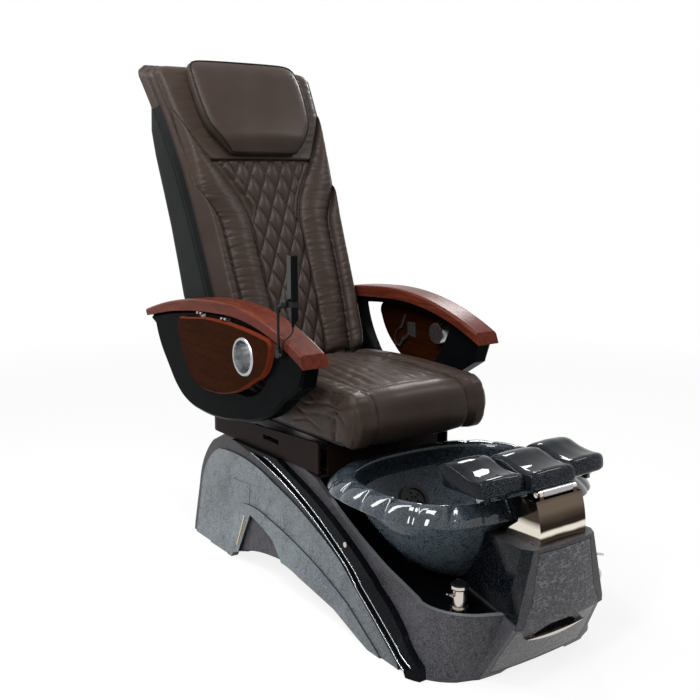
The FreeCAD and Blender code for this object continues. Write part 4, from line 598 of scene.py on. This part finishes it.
def between(rows, u):
    """A smooth value from rows (u, value), level before the first and after the last."""
    if u <= rows[0][0]:
        return rows[0][1]
    for (u0, v0), (u1, v1) in zip(rows, rows[1:]):
        if u <= u1:
            t = (u - u0) / (u1 - u0)
            return v0 + (v1 - v0) * t
    return rows[-1][1]


def eased(rows, u, reach=14.0):
    """As between, with its corners rounded over reach."""
    return (between(rows, u - reach) + 2 * between(rows, u) + between(rows, u + reach)) / 4


def rounded(away, radius):
    """1 at an edge and 0 from one radius inside it, along a quarter circle."""
    share = min(max(away / radius, 0.0), 1.0)
    return 1 - math.sqrt(1 - (1 - share) ** 2)


def groove(distance, width):
    """1 on a seam and 0 away from it."""
    return math.exp(-(distance / width) ** 2)


def step(value, low, high):
    """A smooth rise from 0 at low to 1 at high."""
    t = min(max((value - low) / (high - low), 0.0), 1.0)
    return t * t * (3 - 2 * t)


def bend(u):
    """How far the backrest's upper part curves back at a height."""
    return 45.0 * (max(u - 430.0, 0.0) / 343.0) ** 1.5


def leaned(x, n, u):
    """From the backrest's own frame in millimetres to the shared frame in metres."""
    y = n * math.cos(LEAN) + u * math.sin(LEAN)
    z = -n * math.sin(LEAN) + u * math.cos(LEAN)
    return Vector((x / 1000, BACK_Y + y / 1000, BACK_Z + z / 1000))


# Heights and half widths of the backrest's outline, its quilted panel and its bolsters
SIDE_ROWS = [(-195, 222), (-176, 230), (-140, 238), (20, 247), (190, 252), (320, 257), (430, 264),
             (480, 268), (560, 273), (640, 278), (720, 285), (764, 289), (786, 284), (800, 262)]
PANEL_ROWS = [(-195, 78), (0, 85), (174, 88), (240, 89), (277, 93), (321, 107), (388, 143), (456, 186),
              (512, 216), (582, 252), (640, 276), (660, 290), (800, 300)]
BOLSTER_ROWS = [(-195, 172), (0, 188), (150, 194), (240, 197), (266, 203), (300, 222), (347, 246),
                (390, 268), (800, 310)]
BACK_LOW = -195.0
BACK_HIGH = 800.0
PANEL_TOP = 456.0
QUILT_WIDE = 54.0
QUILT_HIGH = 106.0
QUILT_START = 305.0
# How far out and how deep each row of the backrest's sides goes
BACK_SIDES = ((3, 21), (5, 29), (4.5, 38), (3, 46), (2, 48), (3, 50), (2, 57), (-8, 60), (-40, 60))
SIDE_SEAM = 29


def creases(x, u, seed, along, across):
    """Short soft folds: ridged noise, stretched by the two scales."""
    value = noise.noise(Vector((x * across, u * along, seed)))
    return max(0.0, 1 - abs(value) * 3.2)


def back_height(x, u, half, panel, bolster):
    """How far the backrest's front stands forward at x, and how much of a seam is there."""
    a = abs(x)
    side = 1 if x > 0 else -1
    wobble = 1.6 * noise.noise(Vector((x * 0.012, u * 0.011, 3.0)))
    seam = 0.0
    if a <= panel:
        share = a / panel
        if u < PANEL_TOP:
            height = 6 - 5 * share ** 3
            strip = 22 * step(u, 236, 300)
            inner = panel - strip
            if strip > 1:
                line = groove(a - inner, 2.2)
                height -= 2.0 * line
                seam = max(seam, 0.6 * line)
            along = (u - QUILT_START) / QUILT_HIGH
            p = abs(math.sin(math.pi * (x / QUILT_WIDE + along)))
            q = abs(math.sin(math.pi * (x / QUILT_WIDE - along)))
            rise = (p * q) ** 0.42
            fade = step(inner - a, 0, 5) * step(PANEL_TOP - u, 2, 8)
            height += 12.5 * rise * fade
            seam = max(seam, groove(min(p, q), 0.12) * fade)
        else:
            height = 16 - 4 * share ** 2
            folds = creases(x, u, 9.0 + side, 0.03, 0.012)
            height -= 1.2 * folds * step(u, PANEL_TOP, PANEL_TOP + 60)
    elif a <= bolster:
        share = (a - panel) / max(bolster - panel, 1.0)
        height = 3 + 24 * max(math.sin(math.pi * share), 0.0) ** 0.55
        folds = creases(x, u, 20.0 + side, 0.05, 0.009)
        fine = creases(x, u, 27.0 + side, 0.11, 0.016)
        edge = math.exp(-min(share, 1 - share) * 3.0)
        height -= (3.4 * folds + 0.9 * fine) * edge
    else:
        share = (a - bolster) / max(half - bolster, 1.0)
        height = 10 + 26 * math.sin(math.pi * min(share * 0.95, 1.0)) ** 0.7
        folds = creases(x, u, 40.0 + side, 0.045, 0.012)
        height -= 3.2 * folds * math.exp(-share * 2.0)
    for distance, depth in ((a - panel, 7.0), (a - bolster, 6.0)):
        if a < half - 2:
            line = groove(distance, 2.9)
            height -= depth * line
            seam = max(seam, line)
    if a < panel:
        line = groove(u - PANEL_TOP, 2.8)
        height -= 6.0 * line
        seam = max(seam, line)
    round_off = rounded(half - a, 30.0) + rounded(BACK_HIGH - u, 34.0) + rounded(u - BACK_LOW, 30.0)
    height += wobble
    return height - (height + 14) * min(round_off, 1.0), seam


def make_back():
    """The quilted backrest: its front as a shaped grid, its sides pulled back from the edge."""
    across, tall = 150, 310
    bm = bmesh.new()
    seams = bm.verts.layers.float.new("seam")
    bmesh.ops.create_grid(bm, x_segments=across, y_segments=tall, size=1.0)
    for v in bm.verts:
        u = BACK_LOW + (BACK_HIGH - BACK_LOW) * (v.co.y + 1) / 2
        half = eased(SIDE_ROWS, u, 6)
        panel = min(eased(PANEL_ROWS, u), half - 2.0)
        bolster = min(eased(BOLSTER_ROWS, u), half - 1.0)
        t = abs(v.co.x)
        if t < 0.5:
            a = panel * t / 0.5
        elif t < 0.8:
            a = panel + (bolster - panel) * (t - 0.5) / 0.3
        else:
            a = bolster + (half - bolster) * (t - 0.8) / 0.2
        x = math.copysign(a, v.co.x)
        height, seam = back_height(x, u, half, panel, bolster)
        v[seams] = seam
        v.co = (x, bend(u) - height, u)
    edges = [e for e in bm.edges if e.is_boundary]
    middle = (BACK_LOW + BACK_HIGH) / 2
    for reach, depth in BACK_SIDES:
        made = bmesh.ops.extrude_edge_only(bm, edges=edges)["geom"]
        verts = [g for g in made if isinstance(g, bmesh.types.BMVert)]
        edges = [g for g in made if isinstance(g, bmesh.types.BMEdge) and g.is_boundary]
        for v in verts:
            u = v.co.z
            n = bend(min(max(u, BACK_LOW), BACK_HIGH)) + depth
            v.co = (v.co.x * (1 + reach / 260), n, middle + (u - middle) * (1 + reach / 500))
            v[seams] = 0.8 if depth == SIDE_SEAM else 0.0
        if depth > SIDE_SEAM:
            for face in {f for v in verts for f in v.link_faces}:
                low = min(v.co.z for v in face.verts)
                face.material_index = 0 if depth < 60 and low > 660 else 1
    filled = bmesh.ops.triangle_fill(bm, use_beauty=True, edges=edges)["geom"]
    for face in filled:
        if isinstance(face, bmesh.types.BMFace):
            face.material_index = 1
    for v in bm.verts:
        v.co = leaned(*v.co)
    piece = finish_mesh(bm, "backrest_cover", "seat_leather")
    piece.data.materials.append(MATERIALS["shell_plastic"])
    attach(piece, "back")
    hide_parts("back_cushion")


def first_ring(bm, count):
    return bmesh.ops.create_circle(bm, cap_ends=False, segments=count, radius=1.0)["verts"]


def loop_edges(ring):
    """The edges that join a ring's own vertices, in the ring's order."""
    members = set(ring)
    edges = dict.fromkeys(e for v in ring for e in v.link_edges)
    return [e for e in edges
            if e.verts[0] in members and e.verts[1] in members and len(e.link_faces) < 2]


def next_ring(bm, ring):
    """Extrude a closed ring of vertices once, and give the new ring in the same order."""
    made = bmesh.ops.extrude_edge_only(bm, edges=loop_edges(ring))["geom"]
    fresh = {g for g in made if isinstance(g, bmesh.types.BMVert)}
    return [next(e.other_vert(v) for e in v.link_edges if e.other_vert(v) in fresh) for v in ring]


def cap(bm, *rings):
    for ring in rings:
        bmesh.ops.contextual_create(bm, geom=ring)


def closed_curve(points, count):
    """Evenly spaced points along a smooth closed line through the given ones."""
    fine = []
    n = len(points)
    for i in range(n):
        p0, p1, p2, p3 = (Vector(points[(i + k - 1) % n]) for k in range(4))
        for k in range(12):
            t = k / 12
            fine.append(0.5 * ((2 * p1) + (p2 - p0) * t + (2 * p0 - 5 * p1 + 4 * p2 - p3) * t * t
                               + (3 * p1 - p0 - 3 * p2 + p3) * t ** 3))
    return resampled(fine, count)


def resampled(fine, count):
    """Evenly spaced points along a closed line of many points."""
    lengths = [0.0]
    for a, b in zip(fine, fine[1:] + fine[:1]):
        lengths.append(lengths[-1] + (b - a).length)
    result = []
    i = 0
    for k in range(count):
        goal = lengths[-1] * k / count
        while lengths[i + 1] < goal:
            i += 1
        t = (goal - lengths[i]) / max(lengths[i + 1] - lengths[i], 1e-9)
        result.append(fine[i % len(fine)].lerp(fine[(i + 1) % len(fine)], t))
    return result


# One half of the pillow's outline, from its foot to its top
PILLOW_HALF = [(108, 469), (131, 481), (160, 517), (184, 558), (196, 610), (200, 680), (199, 740),
               (192, 774), (172, 790), (122, 795)]
PILLOW_LINE = [(-108, 469), (0, 467)] + PILLOW_HALF + [(0, 797)]
PILLOW_LINE += [(-x, u) for x, u in reversed(PILLOW_HALF[1:])]
PILLOW_MIDDLE = Vector((0, 640))
# Inset from the outline and share of the thickness, from the back to the crown
PILLOW_RINGS = [(30, 0.0), (10, 0.02), (4, 0.08), (1, 0.2), (0, 0.4), (0.5, 0.58), (2, 0.7),
                (3.2, 0.745), (4.4, 0.75), (5.6, 0.775), (9, 0.83), (15, 0.885), (24, 0.93),
                (38, 0.965), (56, 0.985), (78, 0.995), (102, 1.0), (126, 1.003), (140, 1.004)]
PILLOW_SEAM = (3.2, 4.4)


def pillow_point(p, inset, share):
    """A point of the pillow in the backrest's frame, inset from its outline."""
    away = p - PILLOW_MIDDLE
    q = p - away * (inset / away.length)
    thick = 24 + 26 * step(q.y, 466, 520) * (1 - 0.25 * step(q.y, 740, 792))
    return q.x, bend(q.y) - 18.5 - thick * share, q.y


def make_pillow():
    """The headrest pillow, lofted over its rings, with a piped edge."""
    count = 220
    line = closed_curve(PILLOW_LINE, count)
    bm = bmesh.new()
    seams = bm.verts.layers.float.new("seam")
    ring = first_ring(bm, count)
    first = ring
    for k, (inset, share) in enumerate(PILLOW_RINGS):
        if k:
            ring = next_ring(bm, ring)
        for v, p in zip(ring, line):
            v.co = pillow_point(p, inset, share)
            v[seams] = 0.9 if inset in PILLOW_SEAM else 0.0
    cap(bm, first, ring)
    for v in bm.verts:
        x, n, u = v.co
        n += 0.9 * noise.noise(Vector((x * 0.018, u * 0.02, 7.0)))
        v.co = leaned(x, n, u)
    piece = finish_mesh(bm, "pillow_cover", "seat_leather")
    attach(piece, "back")
    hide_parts("head_pillow")
    pipe = []
    for p in line:
        x, n, u = pillow_point(p, 3.8, 0.77)
        pipe.append(leaned(x, n - 0.6, u))
    piping("pillow_piping", pipe, 0.0026, "back", True)


def piping(name, points, radius, body, closed=False, finish="piping_leather"):
    """A round piped edge along the points, made a mesh."""
    curve, spline = new_curve(name, "POLY", points, radius, 3, not closed)
    spline.use_cyclic_u = closed
    maker = put_in_scene(name + "_line", curve)
    bpy.context.view_layer.update()
    mesh = bpy.data.meshes.new_from_object(maker)
    bpy.data.objects.remove(maker)
    mesh.name = name
    for face in mesh.polygons:
        face.use_smooth = True
    mesh.materials.clear()
    mesh.materials.append(MATERIALS[finish])
    piece = put_in_scene(name, mesh)
    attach(piece, body)
    return piece


# Seat

SEAT_HALF = 240.0
SEAT_SEAM = 156.0
# The corner where the front roll is sewn to the boxing
CORNER_Y = -8.0
CORNER_Z = 562.0
# Distance from the middle, with the inset, dip and crown of the outline there
SEAT_STATIONS = [(240, 26, 26, 1), (234, 12, 10, 2), (214, 0, 1, 5), (182, 0, 0, 5), (161, 4, 6, 4),
                 (156, 7, 10, 4), (151, 4, 7, 5), (90, 0, 2, 7), (0, 0, 0, 8)]


def arc_points(start, via, end, count):
    """Points along the arc through three points, without the last."""
    ax, ay = start
    bx, by = via
    cx, cy = end
    d = 2 * (ax * (by - cy) + bx * (cy - ay) + cx * (ay - by))
    if abs(d) < 1e-6:
        return [Vector(start).lerp(Vector(end), k / count) for k in range(count)]
    sa, sb, sc = ax * ax + ay * ay, bx * bx + by * by, cx * cx + cy * cy
    middle = Vector(((sa * (by - cy) + sb * (cy - ay) + sc * (ay - by)) / d,
                     (sa * (cx - bx) + sb * (ax - cx) + sc * (bx - ax)) / d))
    first = Vector(start) - middle
    angles = [math.atan2(p[1] - middle.y, p[0] - middle.x) for p in (start, via, end)]
    turn = (angles[2] - angles[0]) % (2 * math.pi)
    if (angles[1] - angles[0]) % (2 * math.pi) > turn:
        turn -= 2 * math.pi
    return [middle + Matrix.Rotation(turn * k / count, 2) @ first for k in range(count)]


def spec_line(spec, count, round_off=0):
    """Even points round a closed outline of corners and ("via", a, b) arcs, softened at its corners."""
    fine = []
    corner = spec[0]
    i = 1
    while i <= len(spec):
        item = spec[i % len(spec)]
        if item[0] == "via":
            end = spec[(i + 1) % len(spec)]
            fine += arc_points(corner, item[1:], end, 24)
            corner = end
            i += 2
        else:
            fine += [Vector(corner).lerp(Vector(item), k / 12) for k in range(12)]
            corner = item
            i += 1
    points = resampled(fine, count)
    for _ in range(round_off):
        points = [(points[k - 1] + 2 * points[k] + points[(k + 1) % count]) / 4 for k in range(count)]
    return points


def seat_outline(inset, dip, crown, skirt):
    """The cushion's outline from the side; skirt is how far its boxing hangs below its board."""
    top = 612.0 - dip
    low = 458.0 + inset * 0.6
    return [(482 - inset, 500 - skirt), ("via", 487 - inset, 552), (472 - inset, top - 6),
            ("via", 210, top + crown), (-12, top - 4), ("via", -70 + inset, top - 22), (-84 + inset, 548),
            ("via", -85 + inset, 492 + inset), (-60 + inset, low), (-36, low),
            ("via", -24, 474 + inset * 0.3), (-22, 500 - skirt)]


def pucker(y, z):
    """Folds that run out from the corner where the front roll is sewn to the boxing."""
    away = math.hypot(y - CORNER_Y, z - CORNER_Z)
    turn = math.atan2(z - CORNER_Z, y - CORNER_Y)
    wave = max(0.0, math.sin(7 * turn + 1.2 * noise.noise(Vector((y, z, 0)) * 0.03)))
    return wave ** 1.4 * math.exp(-away / 60) * (1 - math.exp(-away / 9))


def seat_point(x, y, z):
    """A point of the seat, moved by its channels, seams and folds, and how much dark seam line and
    painted fold shade is there.
    """
    a = abs(x)
    cover = step(z, 505, 560)
    seam = groove(a - SEAT_SEAM, 3.0)
    lift = 0.0
    if a < SEAT_SEAM and z > 580:
        cross = groove(y + 18 + 0.02 * x, 3.0) * step(SEAT_SEAM - a, 0, 6)
        lift -= 4.0 * cross
        seam = max(seam, cross)
        if y > -10:
            channel = abs(math.sin(math.pi * (a / 34 + (y - 60) / 260)))
            lift += 6.0 * (channel ** 0.5 - 0.7) * step(y, 0, 60) * step(150 - a, 0, 12)
            lift -= 3.0 * creases(x, y, 66.0, 0.012, 0.022) * step(150 - a, 0, 30)
    lift -= 3.4 * creases(x, y, 60.0, 0.02, 0.03) * groove(a - 170, 30) * cover
    lift += 1.4 * noise.noise(Vector((x * 0.013, y * 0.013, 11.0)))
    folds = pucker(y, z)
    lift -= 5.0 * folds * step(a, 170, 205)
    at_side = step(30 - (SEAT_HALF - a), 0, 22)
    off_roll = y + 8 + 0.12 * (z - 566)
    side_folds = 2.2 * creases(y, z, 71.0, 0.03, 0.012)
    deep = (7.0 * folds + 5.0 * groove(off_roll, 4.2) + side_folds) * at_side
    # Painted shade in the folds by the front roll's corner goes into the seam value too.
    seam = max(seam * cover, 0.85 * groove(off_roll, 2.4) * at_side, 0.55 * folds * at_side)
    shift_y = lift * step(520 - y, 0, 60) if y < -40 else 0.0
    shift_z = 0.0 if y < -60 else lift * cover
    return from_mm(x - math.copysign(deep, x), y - shift_y, z + shift_z), seam


def make_seat():
    """The seat cushion, lofted from side to side over its outline."""
    count = 260
    stations = 96
    bm = bmesh.new()
    seams = bm.verts.layers.float.new("seam")
    ring = first_ring(bm, count)
    rows = [[(SEAT_HALF - s[0], s[k]) for s in SEAT_STATIONS] for k in (1, 2, 3)]
    first = ring
    sides = [0.06 + 0.9 * (k / 17) ** 0.7 for k in range(18)]
    places = [(-SEAT_HALF, share) for share in sides]
    for k in range(stations + 1):
        t = 2 * k / stations - 1
        places.append((SEAT_HALF * math.copysign(1 - (1 - abs(t)) ** 1.25, t), 1.0))
    places += [(SEAT_HALF, share) for share in reversed(sides)]
    middle = Vector((190, 540))
    for k, (x, share) in enumerate(places):
        inset, dip, crown = (eased(row, SEAT_HALF - abs(x), 3) for row in rows)
        if k:
            ring = next_ring(bm, ring)
        line = spec_line(seat_outline(inset, dip, crown, 26 * step(abs(x), 227, 230)), count, 6)
        for v, p in zip(ring, line):
            q = middle + (p - middle) * share
            v.co, v[seams] = seat_point(x + math.copysign(3.0 * (1 - share ** 4), x), q.x, q.y)
    cap(bm, first, ring)
    piece = finish_mesh(bm, "seat_cover", "seat_leather")
    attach(piece, "seat")
    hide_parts("seat_cushion")


make_back()
make_pillow()
make_seat()


# Foot pads

PAD_LOW = 448.0
# The lugs under a side pad: their distance from its middle, size and place
LUG_OUT = 27
LUG_SIZE = (14, 24, 26)
LUG_Y = -492
LUG_Z = 441
CENTRE_ROWS = [(-72, -548, -371, 10), (-64, -552, -365, 3), (-20, -552, -365, 0), (20, -552, -365, 0),
               (64, -552, -365, 3), (72, -548, -371, 10)]
SIDE_PAD_ROWS = [(77, -528, -371, 10), (85, -532, -365, 3), (137, -532, -365, 0), (188, -529, -375, 3),
                 (204, -521, -388, 8)]


def pad_outline(front, rear, drop):
    """A pad's wavy outline from the side; drop lowers its top."""
    low = PAD_LOW
    top = low - drop
    return [(front + 6, low), (front, low + 8), (front + 2, top + 32), ("via", front + 7, top + 44),
            (front + 20, top + 46), ("via", front + 60, top + 47.5), (front + 98, top + 57),
            ("via", front + 126, top + 62), (front + 152, top + 54), (rear - 4, top + 30),
            ("via", rear, low + 15), (rear - 8, low)]


def make_pad(node, body, rows):
    """A polished pad, lofted smoothly over rows of x, front, rear and drop."""
    count = 110
    stations = 44
    bm = bmesh.new()
    ring = first_ring(bm, count)
    first = ring
    low, high = rows[0][0], rows[-1][0]
    for k in range(stations + 1):
        t = 0.5 - 0.5 * math.cos(math.pi * k / stations)
        x = low + (high - low) * t
        front, rear, drop = (eased([(row[0], row[n]) for row in rows], x, 9.0) for n in (1, 2, 3))
        end = min(x - low, high - x)
        tuck = 4 * rounded(end, 5.0)
        if k:
            ring = next_ring(bm, ring)
        line = spec_line(pad_outline(front, rear, drop), count, 4)
        middle = Vector(((front + rear) / 2, 470))
        for v, p in zip(ring, line):
            away = p - middle
            y, z = p - away * (tuck / max(away.length, 1.0))
            v.co = from_mm(x, y, z)
    cap(bm, first, ring)
    if rows is not CENTRE_ROWS:
        for side in (-1, 1):
            x = (low + high) / 2 + side * LUG_OUT
            for v in bmesh.ops.create_cube(bm, size=1.0)["verts"]:
                v.co = from_mm(x + LUG_SIZE[0] * v.co.x, LUG_Y + LUG_SIZE[1] * v.co.y,
                               LUG_Z + LUG_SIZE[2] * v.co.z)
    piece = finish_mesh(bm, node.replace("foot_pad", "polished_pad"), "bowl_gloss")
    piece.data.materials[0] = MATERIALS["pad_gloss"]
    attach(piece, body)
    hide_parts(node)


make_pad("foot_pad_centre", "footrest", CENTRE_ROWS)
make_pad("foot_pad_left", "left_foot_pad", SIDE_PAD_ROWS)
make_pad("foot_pad_right", "right_foot_pad", [(-x, *row) for x, *row in reversed(SIDE_PAD_ROWS)])


# Bowl

# Height over the foot, with the half width, half depth and power of the outline there
BOWL_WALL_ROWS = [(0, 82, 82, 2.0), (16, 120, 112, 2.0), (54, 165, 146, 2.1), (104, 210, 181, 2.2),
                  (151, 245, 208, 2.3), (223.2, 285, 240, 2.5)]
FOOT_Z = 150.8
BOWL_Y = -222
WASTE_RADIUS = 26
PLEATS = 12
LIP_Z = 374.0
# The rim, from the mouth over its collar to the outside: half width, half depth, power of the outline,
# middle, height and share of the pleats
RIM_ROWS = [(272, 226, 2.5, -231, 384, 0.0), (272, 226, 2.5, -232, 396, 0.1),
            (273, 227, 2.55, -232, 404, 0.3), (276, 230, 2.6, -231, 409, 0.5),
            (281, 234, 2.7, -230, 411.5, 0.7), (287, 238, 2.8, -227, 411.5, 0.9),
            (293, 242, 2.9, -224, 408.5, 1.0), (299, 247, 3.0, -222, 403.5, 1.0),
            (305, 252, 3.0, -222, 398, 1.0), (311, 258, 3.0, -222, 391.5, 1.0),
            (316.5, 263.5, 3.0, -222, 385, 1.0), (321, 268, 3.0, -222, 378, 1.0),
            (324, 271, 3.0, -222, 372, 1.0), (324, 271, 3.0, -222, 369, 0.9),
            (321, 268, 2.9, -222, 367.5, 0.6), (310, 259, 2.7, -222, 369, 0.2),
            (292, 246, 2.5, -222, 369, 0.0)]
# How many of the rim's last rows lie outside
OUTSIDE_ROWS = 2


def bowl_point(half_x, half_y, power, angle):
    """A point of a rounded outline; a higher power makes it squarer."""
    across = abs(math.cos(angle) / half_x) ** power
    along = abs(math.sin(angle) / half_y) ** power
    reach = (across + along) ** (-1 / power)
    return Vector((reach * math.cos(angle), reach * math.sin(angle)))


def wall_rows(z):
    """Half width, half depth and power of the bowl's outside at a height."""
    rows = BOWL_WALL_ROWS
    return [eased([(FOOT_Z + row[0], row[k]) for row in rows], z, 10.0) for k in (1, 2, 3)]


def waste_ring(ring, z):
    """Place a ring of vertices round the waste hole."""
    for i, v in enumerate(ring):
        angle = 2 * math.pi * i / len(ring)
        v.co = from_mm(WASTE_RADIUS * math.cos(angle), BOWL_Y + WASTE_RADIUS * math.sin(angle), z)


def make_bowl():
    """The pleated bowl, from the waste hole up its inside, over the rim and down its outside."""
    count = 288
    low, high = FOOT_Z + 9.4, LIP_Z - 14
    rows = []
    for k in range(20):
        z = low + (high - low) * (k / 19) ** 1.5
        a, b, power = wall_rows(z)
        shrink = 9 + 20 * (1 - step(z, FOOT_Z + 9, FOOT_Z + 40))
        rows.append((a - shrink, b - shrink, power, BOWL_Y, z, 0.0))
    rows += RIM_ROWS
    first_outside = len(rows) - OUTSIDE_ROWS
    for k in range(18):
        z = LIP_Z - 4 - (LIP_Z - 4 - FOOT_Z) * (k / 17) ** 1.1
        rows.append((*wall_rows(z), BOWL_Y, z, 0.0))
    bm = bmesh.new()
    outside = bm.verts.layers.float.new("outside")
    rim = bm.verts.layers.float.new("rim")
    ring = hole = first_ring(bm, count)
    waste_ring(hole, FOOT_Z + 9)
    for k, (a, b, power, middle, z, pleat) in enumerate(rows):
        ring = next_ring(bm, ring)
        for i, v in enumerate(ring):
            angle = 2 * math.pi * i / count
            wave = math.sin(PLEATS * angle)
            ridge = abs(wave) ** 0.55
            swell = 5.0 * (ridge - 0.7) * pleat
            p = bowl_point(a + swell, b + swell, power, angle)
            lift = -3.0 * (1 - ridge) * pleat
            if z > 380:
                lift = (2.2 * (ridge - 0.7) - 1.6 * groove(wave, 0.14)) * pleat
            v.co = from_mm(p.x, middle + p.y, max(z + min(lift, 1.2), FOOT_Z))
            # The outside attribute marks the outer wall, which the bowl finish paints paler as painted
            # light.
            v[outside] = 1.0 if k >= first_outside else 0.0
            v[rim] = min(pleat, 0.8)
    ring = next_ring(bm, ring)
    waste_ring(ring, FOOT_Z)
    bmesh.ops.bridge_loops(bm, edges=loop_edges(hole) + loop_edges(ring))
    piece = finish_mesh(bm, "pleated_bowl", "bowl_gloss")
    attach(piece, "base")
    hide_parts("bowl")


make_bowl()


# Painted highlight lines along the channels, made as thin bright tubes

# Each painted highlight line from the side: its upper points, then an arc and the straight run to the toe
PAINTED_HIGHLIGHT_LINES = {"lower": ([(420, 346), (350, 332)], (286, 316), (59, 235), (-149, 123), (-380, 14)),
              "upper": ([(343, 351)], (320, 348), (99, 274), (-159, 139), (-397, 26))}


def make_channel_highlight_lines():
    """Thin bright tubes laid on the channels as painted highlights, found by casting rays at them from
    the side.
    """
    for side, word in ((-1, "right"), (1, "left")):
        for place, (top, start, via, end, toe) in PAINTED_HIGHLIGHT_LINES.items():
            line = [Vector(p) for p in top] + arc_points(start, via, end, 40)
            line += [Vector(end).lerp(Vector(toe), k / 8) for k in range(9)]
            points = []
            for p in line:
                far = from_mm(side * 600, p.x, p.y)
                hit, spot, _, _ = nodes["channel_trims"].ray_cast(far, Vector((-side, 0, 0)))
                if hit and abs(spot.x) > 0.12:
                    points.append(spot + Vector((side * 0.0003, 0, 0)))
            piping("bead_" + place + "_" + word, points, 0.0013, "base", finish="bead_silver")


make_channel_highlight_lines()


# Floor, backdrop and light

def seen_rays(w):
    """The light path, and 1 for rays that show the surface itself or its mirror image."""
    path = w.add("ShaderNodeLightPath").outputs
    seen = w.math("MAXIMUM", path["Is Camera Ray"], path["Is Glossy Ray"])
    return path, w.math("MAXIMUM", seen, path["Is Transmission Ray"])


def make_stage():
    """A pale floor that looks white far out, as the photograph's ground does."""
    bm = bmesh.new()
    bmesh.ops.create_grid(bm, x_segments=2, y_segments=2, size=14.0)
    mesh = bpy.data.meshes.new("floor")
    bm.to_mesh(mesh)
    bm.free()
    floor = put_in_scene("floor", mesh)
    floor.location.z = -0.0005
    material = bpy.data.materials.new("pale_floor")
    material.use_nodes = True
    w = Wiring(material.node_tree)
    shader = w.nodes["Principled BSDF"]
    shader.inputs["Base Color"].default_value = (0.86, 0.86, 0.86, 1.0)
    shader.inputs["Roughness"].default_value = 0.9
    shader.inputs["Specular IOR Level"].default_value = 0.0
    glow = w.add("ShaderNodeEmission")
    glow.inputs["Strength"].default_value = 1.0
    path, seen = seen_rays(w)
    mix = w.add("ShaderNodeMixShader")
    w.join(w.times(seen, 0.85), mix.inputs[0])
    w.join(shader.outputs[0], mix.inputs[1])
    w.join(glow.outputs[0], mix.inputs[2])
    place = w.add("ShaderNodeTexCoord").outputs["Object"]
    reach = w.add("ShaderNodeVectorMath", operation="LENGTH")
    w.join(place, reach.inputs[0])
    away = w.ramp(reach.outputs["Value"], 1.6, 4.5)
    clear = w.add("ShaderNodeMixShader")
    w.join(w.times(away, path["Is Camera Ray"]), clear.inputs[0])
    w.join(mix.outputs[0], clear.inputs[1])
    w.join(glow.outputs[0], clear.inputs[2])
    w.join(clear.outputs[0], w.nodes["Material Output"].inputs["Surface"])
    mesh.materials.append(material)


# How brightly the white surroundings light the object
WORLD_LIGHT = 0.27


def make_world():
    world = bpy.data.worlds.new("studio")
    bpy.context.scene.world = world
    world.use_nodes = True
    w = Wiring(world.node_tree)
    background = w.nodes["Background"]
    seen = seen_rays(w)[1]
    w.join(w.ramp(seen, 0.0, 1.0, WORLD_LIGHT, 1.0), background.inputs["Strength"])
    background.inputs["Color"].default_value = (1.0, 1.0, 1.0, 1.0)


def add_lamp(name, place, aim, size, power):
    data = bpy.data.lights.new(name, "AREA")
    data.shape = "RECTANGLE"
    data.size, data.size_y = size
    data.energy = power
    lamp = put_in_scene(name, data)
    lamp.location = place
    lamp.rotation_euler = (Vector(aim) - Vector(place)).to_track_quat("-Z", "Y").to_euler()


# Name, place, aim, size in metres and power in watts
LAMPS = (("key_softbox", (-2.5, -1.4, 2.8), (0, -0.1, 0.6), (0.5, 1.8), 66),
         ("overhead_strip", (-0.9, -0.6, 3.2), (-0.2, -0.3, 0.4), (1.0, 0.5), 36),
         ("long_strip", (-1.25, 0.95, 2.65), (-0.25, -0.3, 0.4), (0.36, 2.6), 46),
         ("right_strip", (2.1, -1.1, 3.0), (0, -0.2, 0.5), (0.3, 1.1), 28),
         ("rear_softbox", (1.9, 1.3, 2.4), (0, -0.2, 0.6), (0.5, 0.6), 24))
make_stage()
make_world()
for lamp in LAMPS:
    add_lamp(*lamp)
bpy.context.scene.view_settings.view_transform = "Standard"
